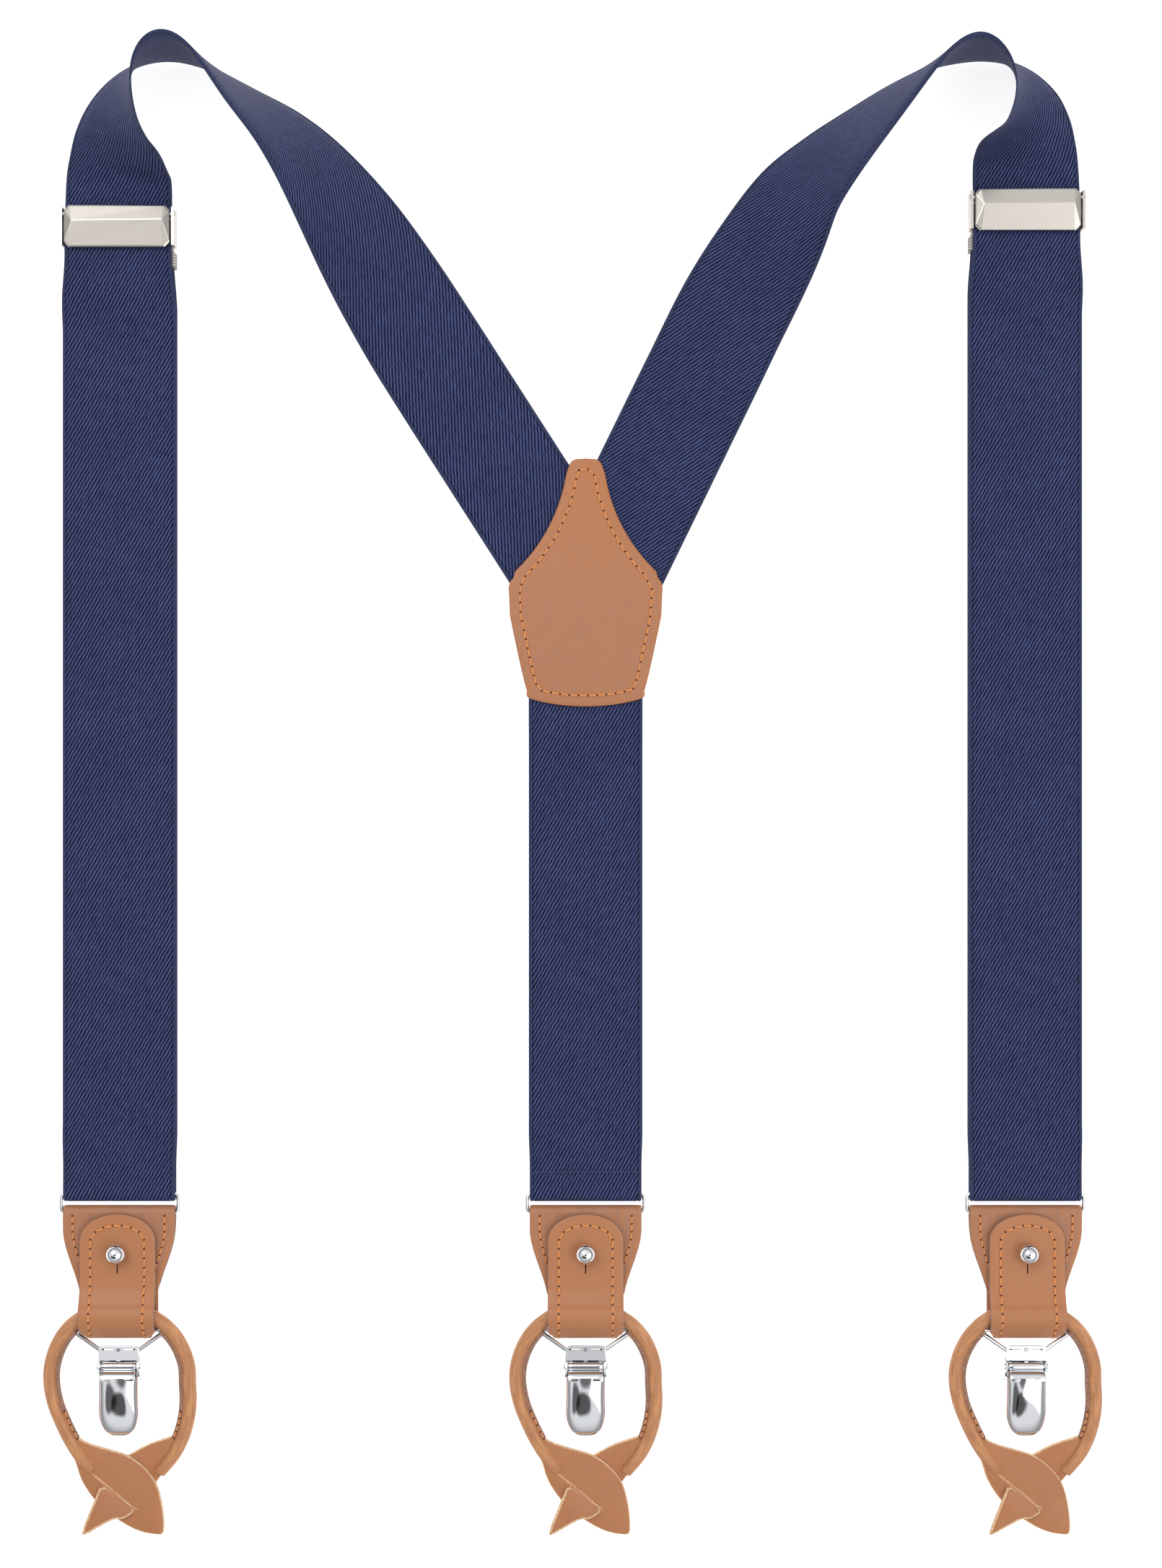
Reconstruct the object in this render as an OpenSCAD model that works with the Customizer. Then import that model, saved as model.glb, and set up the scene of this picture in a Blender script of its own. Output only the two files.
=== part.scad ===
// Y-back convertible suspenders, laid flat with their faces up: two front straps whose webbing loops over
// the shoulders to a leather patch, one back strap, and three leather ends with a clip and a button loop.
// Millimetres. +Z is up from the table, +Y towards the shoulders, the origin is under the middle of the whole.

/* [Webbing] */
// Width of the elastic webbing
strap_w = 34.5; // [33:0.5:36]
// Thickness of the elastic webbing
strap_t = 1.3; // [1.2:0.05:1.35]
// Distance of each front strap's centre line from the middle
front_x = 137; // [130:1:145]
// Offset of the back strap's centre line from the middle
back_x = 4; // [3:0.5:5]

/* [Adjusters] */
// Position of the left adjuster's middle along its strap
left_adjuster_y = 171; // [150:1:174]
// Position of the right adjuster's middle along its strap
right_adjuster_y = 176; // [150:1:178]
// Height of an adjuster along the strap
adjuster_h = 12.6; // [12:0.2:13]
// Outer width of an adjuster's frame
adjuster_w = 34.4; // [34:0.2:36]

/* [Leather ends] */
// Position of the ring's upper bar, which the webbing folds round
ring_y = -121; // [-123:0.5:-119]
// Distance between the ring's two bars
ring_gap = 5.3; // [5.2:0.1:6]
// Radius of the ring's wire
ring_r = 0.6; // [0.5:0.05:0.65]
// Half of the leather tab's width at the ring
tab_half_w = 16.9; // [16:0.1:17]
// Half of the leather tab's width at the loop's channel
channel_half_w = 11.4; // [11:0.1:12]
// Thickness of the tab's leather
leather_t = 1.3; // [1.2:0.05:1.3]
// Distance from the ring's lower bar to the loop's channel
channel_drop = 30.7; // [30:0.1:31]
// Half of the clip strap's width
flap_half_w = 11.4; // [10.5:0.1:11.6]
// Thickness of the clip strap's leather
flap_t = 1.4; // [1.2:0.05:1.4]
// Distance from the ring's lower bar to the stud
stud_drop = 11.6; // [11:0.1:13]
// Radius of the stud's ball
ball_r = 3.1; // [2.8:0.1:3.2]

/* [Button loop] */
// Radius of the rolled leather of the button loop
cord_r = 2.1; // [1.8:0.05:2.15]
// Thickness of the button loop's flat ends
tail_t = 1.4; // [1.2:0.05:1.4]

/* [Clip] */
// Width of the clip's frame
clip_w = 12.6; // [12:0.1:13]
// Length of the clip's lever
lever_len = 20.7; // [19:0.1:21]
// Radius of the bail's wire
bail_r = 0.7; // [0.6:0.05:0.75]
// Thickness of the clip's sheet metal
clip_t = 0.6; // [0.5:0.05:0.65]

/* [Patch] */
// Thickness of each leather layer of the patch
patch_t = 1.2; // [1:0.1:1.3]
// Half of the patch's width at its widest
patch_half_w = 23.2; // [22:0.1:24]

/* [Hidden] */

// Colours
navy = [0.17, 0.21, 0.42];
tan_leather = [0.72, 0.49, 0.35];
rolled_leather = [0.78, 0.55, 0.34];
nickel = [0.80, 0.79, 0.75];
chrome = [0.86, 0.87, 0.89];
raw_elastic = [0.90, 0.88, 0.84];

// Fits and small gaps
gap = 0.1;
pin_fit = 0.05;
round_fn = 48;
half_w = strap_w / 2;
half_t = strap_t / 2;

// Ring and folds: both folds have the same bore, so the ring lies level
fold_bore = ring_r + 0.2;
ring_z = fold_bore + strap_t;
ring_low_y = ring_y - ring_gap;
ring_half_w = tab_half_w + 0.8;
ring_corner = 1.2;
fold_half_w = tab_half_w;
fold_end_y = ring_y + 8;
front_fold_z = ring_z + fold_bore + half_t;

// Levels of the straight webbing: the rear run lies on the table and the front run on the rear run
rear_z = half_t;
front_z = strap_t + 0.2 + half_t;

// Adjuster levels, measured from the table
bar_z = strap_t + 0.2;
bar_t = 1;
sewn_front_z = bar_z + bar_t + 0.2 + half_t;
over_sewn_z = sewn_front_z + strap_t + 0.2;
in_adjuster_z = bar_z + bar_t + 0.2 + half_t;
wall_t = 0.8;
wall_top = 7.4;
squeezed_half_w = adjuster_w / 2 - wall_t - 0.2;
lever_pin_y = adjuster_h / 2 - 2.5;
lever_pin_z = 6.4;
lever_pin_r = 0.6;
cover_half_w = adjuster_w / 2 - wall_t - 0.4;
cover_t = 0.8;
sewn_len = 9.6;

// Tab, channel and clip strap levels
back_leaf_z = flap_t + gap + leather_t / 2;
front_leaf_z = back_leaf_z + leather_t;
channel_y = ring_low_y - channel_drop;
channel_bore = cord_r + 0.1;
channel_wall = 1.2;
channel_out = channel_bore + channel_wall;
channel_z = flap_t + gap + channel_out;
channel_tube_half_w = 8.5;
loop_sweep_r = channel_out + 0.6;
stud_y = ring_low_y - stud_drop;
flange_r = 3.6;
flange_t = 0.6;
post_r = 1.5;
neck_r = 1.7;
screw_head_r = 3;
screw_head_t = 0.8;
flange_z = front_leaf_z + leather_t / 2 + gap;
flap_low_z = flange_z + flange_t + gap + flap_t / 2;
ball_z = flap_low_z + flap_t / 2 + 2.6;
bail_y = channel_y - 4.9;
bail_bore = bail_r + 0.4;
bail_z = bail_bore + flap_t;
flap_hole_r = neck_r + 0.3;
flap_top_y = ring_low_y - 0.1;
flap_arch = 8;
relief_len = 2.2;
clip_strap_top_y = ring_low_y - 6.7;
flap_hinge_z = bail_z + bail_bore + flap_t / 2;

// Bail and clip levels, with the clip's own lengths measured from the bail's lower bar
bail_drop = 6.1;
bail_half_w = 12.7;
bail_bend_r = 0.9;
bail_slope = 35;
bail_slant_len = (bail_drop - 2 * bail_bend_r) / sin(bail_slope);
bail_low_half_w = bail_half_w - bail_bend_r - bail_slant_len * cos(bail_slope);
clip_y = bail_y - bail_drop;
clip_half_w = clip_w / 2;
knuckle_bore = bail_r + 0.2;
knuckle_out = knuckle_bore + clip_t;
plate_z = 0.25;
clip_pin_y = clip_y - 4.7;
clip_pin_z = 3.7;
clip_pin_r = 0.6;
ear_out = clip_half_w - 0.1;
ear_in = ear_out - clip_t;
lever_root_half_w = ear_in - 0.3;
lever_top_y = clip_pin_y - 2.4;
lever_tip_y = clip_pin_y - lever_len - 0.5;
lever_crown_z = 7.2;
lever_rim_z = 3;
lever_wall = 0.7;
crown_across_r = 10.2;
crown_along_r = 31;
crown_peak_y = lever_top_y - 5;
pad_top_y = clip_pin_y - 9;
pad_tip_y = lever_tip_y + 1.6;
pad_t = 0.8;

// Outer edge of each shoulder loop: [x, y, height of the edge's middle, tilt of the width, width].
// The right loop is given as its mirror image.
left_loop = [
    [-153.3, 178, 3.1, 0, 32.4],
    [-153.1, 187, 1.8, 17, 33],
    [-152.3, 193, 0.9, 32, 34],
    [-150.4, 201, 0.65, 45, 34.5],
    [-146.6, 208.8, 0.65, 56, 34.5],
    [-141, 215.4, 0.65, 68, 34.5],
    [-134, 220.2, 0.65, 80, 34.5],
    [-126, 222.5, 0.65, 88, 34.5],
    [-117.5, 222.2, 0.65, 89, 34.5],
    [-107.5, 219, 0.65, 83, 34.5],
    [-95.5, 213, 0.65, 70, 34.5],
    [-82, 205.8, 0.65, 58, 34.5],
    [-69, 195.6, 0.65, 47, 34.5],
    [-54.7, 180.3, 0.65, 31, 34.5],
    [-41, 161.8, 0.65, 15, 34.5],
    [-29, 143.6, 0.65, 3, 34.5],
    [-18, 126.4, 1, 0, 34.5],
    [-5, 106.1, 1.83, 0, 34.5],
    [8, 85.8, 1.9, 0, 34.5],
    [26, 57.6, 1.9, 0, 34.5],
];
right_loop = [
    [-153.3, 183, 3.1, 0, 32.4],
    [-153, 192, 1.8, 15, 33],
    [-152.3, 198, 0.9, 30, 34],
    [-150.6, 205, 0.65, 45, 34.5],
    [-147, 212, 0.65, 58, 34.5],
    [-141, 217.8, 0.65, 72, 34.5],
    [-134, 221.4, 0.65, 83, 34.5],
    [-126, 222.8, 0.65, 89, 34.5],
    [-117.5, 222.3, 0.65, 88, 34.5],
    [-107.5, 220, 0.65, 82, 34.5],
    [-96, 214.6, 0.65, 72, 34.5],
    [-83, 206.8, 0.65, 61, 34.5],
    [-70.5, 198.8, 0.65, 50, 34.5],
    [-57.5, 188.5, 0.65, 38, 34.5],
    [-45, 172.5, 0.65, 21, 34.5],
    [-34, 155.2, 0.65, 7, 34.5],
    [-22.4, 132, 0.9, 0, 34.5],
    [-10.4, 107.4, 1.83, 0, 34.5],
    [2, 82, 1.9, 0, 34.5],
    [14, 57.4, 1.9, 0, 34.5],
];
loop_steps = 3;
strap_meet_y = 57;

// Right half of the rolled leather's centre line, from the channel to the crossing: [x, y, z] from the
// end's own centre line
cord_route = [
    [9.3, -157.1, 5],
    [11.6, -158.2, 4.85],
    [14.3, -160.3, 4.4],
    [17.1, -163.6, 3.7],
    [19.4, -168, 2.9],
    [20.8, -173, 2.3],
    [21, -178, 2.1],
    [20, -184, 2.1],
    [18.1, -189.2, 2.1],
    [15.6, -193.8, 2.1],
    [12.8, -197.6, 2.1],
    [9.8, -201, 2.1],
];

// ---- Points and outlines ----

function unit(v) = v / norm(v);
function smooth(t) = let (u = min(max(t, 0), 1)) u * u * (3 - 2 * u);
function tangent(p, i) = unit(p[min(i + 1, len(p) - 1)] - p[max(i - 1, 0)]);
function side_of(d) = [-d[1], d[0]];
function arc(c, r, from, to, steps) = [
    for (i = [0 : steps])
        let (a = from + (to - from) * i / steps) c + r * [cos(a), sin(a)]
];
function bezier(a, b, c, steps) = [
    for (i = [0 : steps])
        let (t = i / steps) a * (1 - t) * (1 - t) + b * 2 * t * (1 - t) + c * t * t
];
// A thin band of thickness t around a line of points
function band(p, t) = concat(
    [for (i = [0 : len(p) - 1]) p[i] + side_of(tangent(p, i)) * t / 2],
    [for (i = [len(p) - 1 : -1 : 0]) p[i] - side_of(tangent(p, i)) * t / 2]
);
// A smooth curve through the rows of a list, with some steps between each two rows
function curve_row(p, i, t) = let (
    a = p[max(i - 1, 0)],
    b = p[i],
    c = p[i + 1],
    d = p[min(i + 2, len(p) - 1)]
) 0.5 * (2 * b + (c - a) * t + (2 * a - 5 * b + 4 * c - d) * t * t + (3 * b - a - 3 * c + d) * t * t * t);
function curve(p, steps) = concat(
    [for (i = [0 : len(p) - 2]) for (k = [0 : steps - 1]) curve_row(p, i, k / steps)],
    [p[len(p) - 1]]
);
function mirrored(p) = [for (i = [len(p) - 1 : -1 : 0]) [-p[i][0], p[i][1]]];
function heading(p, i) = let (
    a = p[max(i - 1, 0)],
    b = p[min(i + 1, len(p) - 1)]
) unit([b[0] - a[0], b[1] - a[1]]);

// ---- General shapes ----

// A solid lofted through rings that all have the same number of points
module loft(rings) {
    n = len(rings[0]);
    m = len(rings);
    points = [for (r = rings) for (p = r) p];
    sides = [
        for (i = [0 : m - 2]) for (j = [0 : n - 1]) for (half = [0, 1])
            let (a = i * n + j, b = i * n + (j + 1) % n, c = b + n, d = a + n)
                half == 0 ? [a, c, b] : [a, d, c]
    ];
    caps = [[for (j = [0 : n - 1]) j], [for (j = [n - 1 : -1 : 0]) (m - 1) * n + j]];
    polyhedron(points, concat(sides, caps));
}

// An outline in Y and Z, drawn out across the strap
module across(outline, width) {
    rotate([90, 0, 90]) linear_extrude(width, center = true) polygon(outline);
}

// A cylinder across the strap, at a height and a position along it
module bar(y, z, r, width) {
    translate([0, y, z]) rotate([0, 90, 0]) cylinder(h = width, r = r, center = true, $fn = round_fn);
}

// A sheet folded round a bar, its two legs leading towards +Y
module fold(y, z, bore, t, width, leg) {
    difference() {
        bar(y, z, bore + t, width);
        bar(y, z, bore, width + 1);
        translate([-width, y, z - bore - 2 * t]) cube([2 * width, bore + 2 * t, 2 * bore + 4 * t]);
    }
    for (level = [z - bore - t, z + bore]) {
        translate([-width / 2, y, level]) cube([width, leg, t]);
    }
}

// A ring of round wire lying level, with rounded corners
module wire_frame(half_x, y_low, y_high, z, r, corner) {
    for (y = [y_low, y_high]) {
        bar(y, z, r, 2 * (half_x - corner));
    }
    for (x = [-half_x, half_x]) {
        translate([x, y_low + corner, z]) rotate([-90, 0, 0])
            cylinder(h = y_high - y_low - 2 * corner, r = r, $fn = round_fn);
    }
    for (c = [[1, 1, 0], [-1, 1, 90], [-1, -1, 180], [1, -1, 270]]) {
        translate([c[0] * (half_x - corner), (c[1] > 0 ? y_high : y_low) - c[1] * corner, z])
            rotate(c[2]) rotate_extrude(angle = 90, $fn = round_fn) translate([corner, 0]) circle(r, $fn = 24);
    }
}

// ---- Webbing ----

// A ribbon whose outer edge follows the given rows while its width tilts up from the table
module ribbon(rows) {
    p = curve(rows, loop_steps);
    rings = [
        for (i = [0 : len(p) - 1])
            let (
                d = heading(p, i),
                edge = [p[i][0], p[i][1], p[i][2]],
                w = [d[1] * cos(p[i][3]), -d[0] * cos(p[i][3]), sin(p[i][3])],
                t = cross(w, [d[0], d[1], 0]) * half_t,
                far = edge + w * p[i][4]
            ) [edge - t, edge + t, far + t, far - t]
    ];
    loft(rings);
}

module shoulder_strap(rows, meet_x) {
    color(navy) difference() {
        ribbon(rows);
        translate([meet_x - gap / 2, 0, -5]) cube([60, 140, 20]);
        translate([meet_x - 60, 0, -5]) cube([120, strap_meet_y, 20]);
        translate([rows[0][0] - 10, rows[0][1] - 10, -5]) cube([60, 11 + gap, 20]);
    }
}

module left_shoulder_strap() {
    shoulder_strap(left_loop, back_x);
}

module right_shoulder_strap() {
    mirror([1, 0, 0]) shoulder_strap(right_loop, -back_x);
}

// Outline of the webbing's width, which narrows where it enters the adjuster and the fold
function run_half_w(y, adjuster_y) = half_w
    - (half_w - squeezed_half_w) * smooth((y - adjuster_y + 26) / 18)
    - (half_w - fold_half_w) * smooth((fold_end_y + 12 - y) / 12);
function run_outline(y0, y1, adjuster_y) = let (
    side = [for (i = [0 : 40]) let (y = y0 + (y1 - y0) * i / 40) [run_half_w(y, adjuster_y), y]]
) concat(side, mirrored(side));

// Front run: from the fold at the ring up through the adjuster to the shoulder strap
module front_run(x, adjuster_y) {
    end_y = adjuster_y + 8;
    levels = [
        [fold_end_y + gap, front_fold_z],
        [fold_end_y + 4, front_fold_z - 0.3],
        [fold_end_y + 14, front_z],
        [adjuster_y - 30, front_z],
        [adjuster_y - 20, over_sewn_z - 0.3],
        [adjuster_y - 14, over_sewn_z],
        [adjuster_y - 2.4, over_sewn_z],
        [adjuster_y + 1.2, in_adjuster_z + 0.15],
        [adjuster_y + 3, in_adjuster_z],
        [adjuster_y + 6, in_adjuster_z],
        [end_y, left_loop[0][2]],
    ];
    color(navy) translate([x, 0, 0]) intersection() {
        across(band(levels, strap_t), strap_w + 1);
        linear_extrude(20) polygon(run_outline(fold_end_y + gap, end_y, adjuster_y));
    }
}

// Rear run: from the ring back up to the sewn end at the adjuster
module rear_run(x, adjuster_y) {
    top_y = adjuster_y - 2.3 - sewn_len - gap;
    color(navy) translate([x, 0, 0]) intersection() {
        translate([-half_w, fold_end_y + gap, 0]) cube([strap_w, top_y - fold_end_y - gap, strap_t]);
        linear_extrude(strap_t) polygon(run_outline(fold_end_y + gap, top_y, adjuster_y));
    }
}

// Sewn end: the webbing turned round the adjuster's lower bar and stitched down
module sewn_end(x, adjuster_y) {
    color(raw_elastic) translate([x, adjuster_y - 2.3, 0]) mirror([0, 1, 0])
        fold(0, bar_z + bar_t / 2, bar_t / 2 + 0.2, strap_t, 2 * squeezed_half_w, sewn_len);
}

// The webbing folded round the ring's upper bar
module strap_fold(x, leg) {
    color(navy) translate([x, 0, 0]) fold(ring_y, ring_z, fold_bore, strap_t, 2 * fold_half_w, leg);
}

module back_strap() {
    levels = [
        [fold_end_y + gap, front_fold_z],
        [fold_end_y + 3, front_fold_z - 0.5],
        [fold_end_y + 14, rear_z],
        [13, rear_z],
        [25, patch_t + gap / 2 + half_t],
        [strap_meet_y - gap, patch_t + gap / 2 + half_t],
    ];
    color(navy) translate([back_x, 0, 0]) intersection() {
        across(band(levels, strap_t), strap_w + 1);
        linear_extrude(20) polygon(run_outline(fold_end_y + gap, strap_meet_y - gap, 200));
    }
}

// ---- Y patch ----

patch_side = concat(
    [[0, 101.6]],
    arc([2.2, 98.5], 3, 80, 10, 5),
    bezier([5.9, 97], [9.8, 82], [21.4, 67.4], 12),
    arc([18.9, 62.2], 4.4, 47, -10, 5),
    bezier([22.9, 54], [19.4, 36.6], [17.8, 31.4], 5),
    arc([16.4, 30.4], 1.5, -5, -70, 3),
    bezier([15, 28.4], [8, 26.6], [0, 26.6], 6)
);

module patch_outline() {
    side = [for (p = patch_side) [p[0] * patch_half_w / 23.2, p[1]]];
    translate([back_x, 0]) polygon(concat(side, mirrored(side)));
}

module y_patch_back() {
    color(tan_leather) linear_extrude(patch_t) patch_outline();
}

module y_patch_front() {
    color(tan_leather) translate([0, 0, patch_t + strap_t + gap]) linear_extrude(patch_t) patch_outline();
}

// ---- Adjusters ----

module adjuster_frame(x, y) {
    outer = adjuster_w / 2;
    low = -adjuster_h / 2;
    color(nickel) translate([x, y, 0]) difference() {
        union() {
            for (s = [-1, 1]) {
                translate([s * (outer - wall_t / 2) - wall_t / 2, low + 0.6, bar_z])
                    cube([wall_t, adjuster_h - 1.2, wall_top - bar_z]);
            }
            translate([-outer, adjuster_h / 2 - 3.2, bar_z]) cube([2 * outer, 2.6, bar_t]);
            bar(-2.3, bar_z + bar_t / 2, bar_t / 2, 2 * outer);
        }
        bar(lever_pin_y, lever_pin_z, lever_pin_r, 2 * outer + 2);
    }
}

module adjuster_lever(x, y) {
    low = -adjuster_h / 2;
    high = adjuster_h / 2;
    ridge_y = high - 4.7;
    ridge_z = lever_pin_z + 2.1;
    cover = [[low, 7.1], [low + 0.5, 7.3], [ridge_y, ridge_z], [high - 0.5, 7.4], [high, 7.1]];
    corner = 1.6;
    color(nickel) translate([x, y, 0]) difference() {
        union() {
            intersection() {
                across(band(cover, cover_t), 2 * cover_half_w);
                linear_extrude(20) polygon([
                    [-cover_half_w, low + corner], [-cover_half_w + corner, low - 1],
                    [cover_half_w - corner, low - 1], [cover_half_w, low + corner],
                    [cover_half_w, high - corner], [cover_half_w - corner, high + 1],
                    [-cover_half_w + corner, high + 1], [-cover_half_w, high - corner]
                ]);
            }
            for (s = [-1, 1]) {
                translate([s * (cover_half_w - wall_t / 2), 0, 0]) across([
                    [lever_pin_y - 4.5, ridge_z - 0.9], [lever_pin_y - 1.2, lever_pin_z - 0.9],
                    [lever_pin_y + 1.1, lever_pin_z - 0.9], [lever_pin_y + 1.6, lever_pin_z + 0.9]
                ], wall_t);
            }
            across([
                [lever_pin_y - 3.4, ridge_z - 0.6], [lever_pin_y - 2.4, over_sewn_z + half_t + 0.1],
                [lever_pin_y - 1.6, over_sewn_z + half_t + 0.1], [lever_pin_y - 1, ridge_z - 0.6]
            ], 2 * cover_half_w - 4);
        }
        bar(lever_pin_y, lever_pin_z, lever_pin_r + pin_fit, 2 * cover_half_w + 2);
    }
}

module adjuster_pins(x, y) {
    inner = cover_half_w - wall_t;
    outer = adjuster_w / 2 + 0.3;
    color(nickel) translate([x, y, 0]) for (s = [-1, 1]) {
        translate([s * (inner + outer) / 2, 0, 0]) bar(lever_pin_y, lever_pin_z, lever_pin_r, outer - inner);
    }
}

// ---- Leather ends: every piece is placed at its strap's own x ----

module ring(x) {
    color(chrome) translate([x, 0, 0])
        wire_frame(ring_half_w, ring_low_y, ring_y, ring_z, ring_r, ring_corner);
}

// Half width of the tab at a distance below the ring
function tab_side(y) = channel_half_w
    + (tab_half_w - channel_half_w) * smooth((y - channel_y - 3) / (ring_low_y - 4.7 - channel_y - 3));

module tab_outline() {
    top = ring_low_y + 3;
    low = channel_y - channel_out - 1;
    side = [for (i = [0 : 24]) let (y = top + (low - top) * i / 24) [tab_side(y), y]];
    polygon(concat(side, mirrored(side)));
}

module tab(x) {
    fold_back_z = ring_z - fold_bore - leather_t / 2;
    fold_front_z = ring_z + fold_bore + leather_t / 2;
    back_leaf = [
        [ring_low_y - 1.4, fold_back_z], [ring_low_y - 2.4, fold_back_z + 0.2],
        [ring_low_y - 5.6, back_leaf_z - 0.1], [ring_low_y - 7, back_leaf_z],
        [channel_y, back_leaf_z - (leather_t - channel_wall) / 2]
    ];
    front_leaf = [
        [ring_low_y - 1.4, fold_front_z], [ring_low_y - 6, front_leaf_z],
        [channel_y + 5.4, front_leaf_z]
    ];
    turned_up = concat(
        [[channel_y + 8, front_leaf_z]],
        [[channel_y + 4.9, front_leaf_z + 0.3]],
        arc([channel_y, channel_z], channel_out - channel_wall / 2, 38, 90, 5)
    );
    color(tan_leather) translate([x, 0, 0]) difference() {
        union() {
            intersection() {
                union() {
                    translate([0, 2 * ring_low_y, 0]) mirror([0, 1, 0])
                        fold(ring_low_y, ring_z, fold_bore, leather_t, 2 * tab_half_w, 1.5);
                    across(band(back_leaf, leather_t), 2 * tab_half_w);
                    across(band(front_leaf, leather_t), 2 * tab_half_w);
                }
                linear_extrude(20) tab_outline();
            }
            across(band(turned_up, channel_wall), 2 * channel_tube_half_w);
            bar(channel_y, channel_z, channel_out, 2 * channel_tube_half_w);
        }
        bar(channel_y, channel_z, channel_bore, 60);
        for (s = [-1, 1]) {
            translate([s * (channel_tube_half_w + 5), 0, 0]) bar(channel_y, channel_z, loop_sweep_r, 10);
        }
        translate([0, stud_y, 0]) cylinder(h = 20, r = post_r + pin_fit, $fn = round_fn);
    }
}

// Ball stud: a screw head behind the leather, a post, a flange and a ball on a neck
module stud(x) {
    post_z = flap_t - screw_head_t;
    color(chrome) translate([x, stud_y, 0]) {
        rotate_extrude($fn = round_fn) polygon([
            [0, gap], [screw_head_r, gap], [screw_head_r, screw_head_t], [post_r, screw_head_t],
            [post_r, flange_z], [flange_r, flange_z], [flange_r, flange_z + flange_t - 0.2],
            [flange_r - 0.4, flange_z + flange_t], [neck_r, flange_z + flange_t],
            [neck_r, ball_z - 2], [0, ball_z - 2]
        ]);
        translate([0, 0, ball_z]) sphere(ball_r, $fn = round_fn);
    }
}

// Where the corners of the clip strap's fold are cut back, clear of the bail's slanting sides
module fold_relief() {
    for (s = [0, 1]) {
        mirror([s, 0, 0]) intersection() {
            translate([0, bail_y, bail_z]) rotate([0, 90, 0]) rotate_extrude($fn = round_fn) polygon([
                [bail_bore + gap, flap_half_w], [bail_bore + flap_t + gap, flap_half_w - relief_len],
                [bail_bore + flap_t + gap, flap_half_w + 1], [bail_bore + gap, flap_half_w + 1]
            ]);
            translate([0, bail_y - 5, -5]) cube([20, 5, 20]);
        }
    }
}

// Rear leg of the clip strap, and its fold round the bail
module clip_strap(x) {
    color(tan_leather) translate([x, 0, 0]) difference() {
        union() {
            fold(bail_y, bail_z, bail_bore, flap_t, 2 * flap_half_w, 0.01);
            translate([-flap_half_w, bail_y, 0]) cube([2 * flap_half_w, clip_strap_top_y - bail_y, flap_t]);
        }
        translate([0, stud_y, -1]) cylinder(h = 10, r = post_r + pin_fit, $fn = round_fn);
        translate([0, stud_y, -1]) cylinder(h = 1 + screw_head_t + gap, r = screw_head_r + gap, $fn = round_fn);
        fold_relief();
    }
}

// Front leg of the clip strap, which buttons on the stud
module flap(x) {
    over_r = channel_out + gap + flap_t / 2 + 0.1;
    line = concat(
        [[bail_y + 0.1, flap_hinge_z], [bail_y + 0.6, flap_hinge_z + 1.3]],
        arc([channel_y, channel_z], over_r, 148, 42, 9),
        [[channel_y + 7.5, flap_low_z + 0.35], [channel_y + 12, flap_low_z], [flap_top_y + 1, flap_low_z]]
    );
    side = concat(
        [[0, flap_top_y]],
        [
            for (a = [82.5 : -7.5 : 0])
                [flap_half_w * cos(a), flap_top_y - flap_arch + flap_arch * sin(a)]
        ],
        [[flap_half_w, bail_y - 2]]
    );
    color(tan_leather) translate([x, 0, 0]) difference() {
        intersection() {
            across(band(line, flap_t), 2 * flap_half_w);
            linear_extrude(20) polygon(concat(side, mirrored(side)));
        }
        bar(bail_y, bail_z, bail_bore + flap_t + gap / 2, 60);
        translate([0, stud_y, 0]) cylinder(h = 20, r = flap_hole_r, $fn = round_fn);
        translate([-0.2, stud_y - flap_hole_r - 3, 0]) cube([0.4, 4, 20]);
    }
}

// ---- Button loop: rolled leather through the channel, its flat ends crossed and locked ----

// Left flat end, in front, with its buttonhole
left_tail = concat(
    [[-14.6, -200.2]],
    bezier([-11.4, -196.2], [-1, -199], [5.4, -201.3], 6),
    bezier([7, -202], [13.2, -208], [13.4, -221.5], 7),
    arc([12, -222.1], 1.4, 15, -100, 4),
    bezier([10.6, -223.5], [-1.5, -222], [-8, -213.5], 6),
    [[-10.4, -209.4], [-12.2, -205]]
);
// Right flat end, behind, as far as the buttonhole that it passes through
right_tail = concat(
    [[15.5, -194.3]],
    bezier([12, -196.1], [4, -199], [-5, -207.6], 5),
    [[4.8, -216], [10.8, -209.6], [13.6, -203.8], [17.4, -199.4]]
);
// Tongue: the right end where it has come out in front
tongue = [[-5, -207.6], [4.8, -216], [0.6, -219.2], [-10.3, -223.6], [-11.4, -223.2], [-7.4, -215.4]];
tongue_z = 2 * tail_t + 2 * gap;
buttonhole = [[-5.6, -207.1], [5.3, -216.4]];

module button_loop(x) {
    half = curve(cord_route, 2);
    bend = [
        for (i = [0 : 4]) let (s = -1 + i / 2) [8 * s, channel_y, channel_z]
    ];
    path = concat([for (i = [len(half) - 1 : -1 : 0]) [-half[i][0], half[i][1], half[i][2]]], bend, half);
    rings = [
        for (i = [0 : len(path) - 1])
            let (
                d = tangent(path, i),
                u = unit(cross([0, 0, 1], d)),
                v = cross(d, u)
            ) [for (k = [0 : 9]) path[i] + (u * cos(36 * k) + v * sin(36 * k)) * cord_r]
    ];
    slit_d = unit(buttonhole[1] - buttonhole[0]);
    color(rolled_leather) translate([x, 0, 0]) {
        loft(rings);
        linear_extrude(tail_t) polygon(right_tail);
        translate([0, 0, tail_t + gap]) linear_extrude(tail_t) difference() {
            polygon(left_tail);
            polygon(band(buttonhole, 2 * gap + 1.2));
        }
        linear_extrude(tongue_z + tail_t) polygon(band([buttonhole[0] + slit_d, buttonhole[1] - slit_d], 1));
        translate([0, 0, tongue_z]) linear_extrude(tail_t) polygon(tongue);
    }
}

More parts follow.
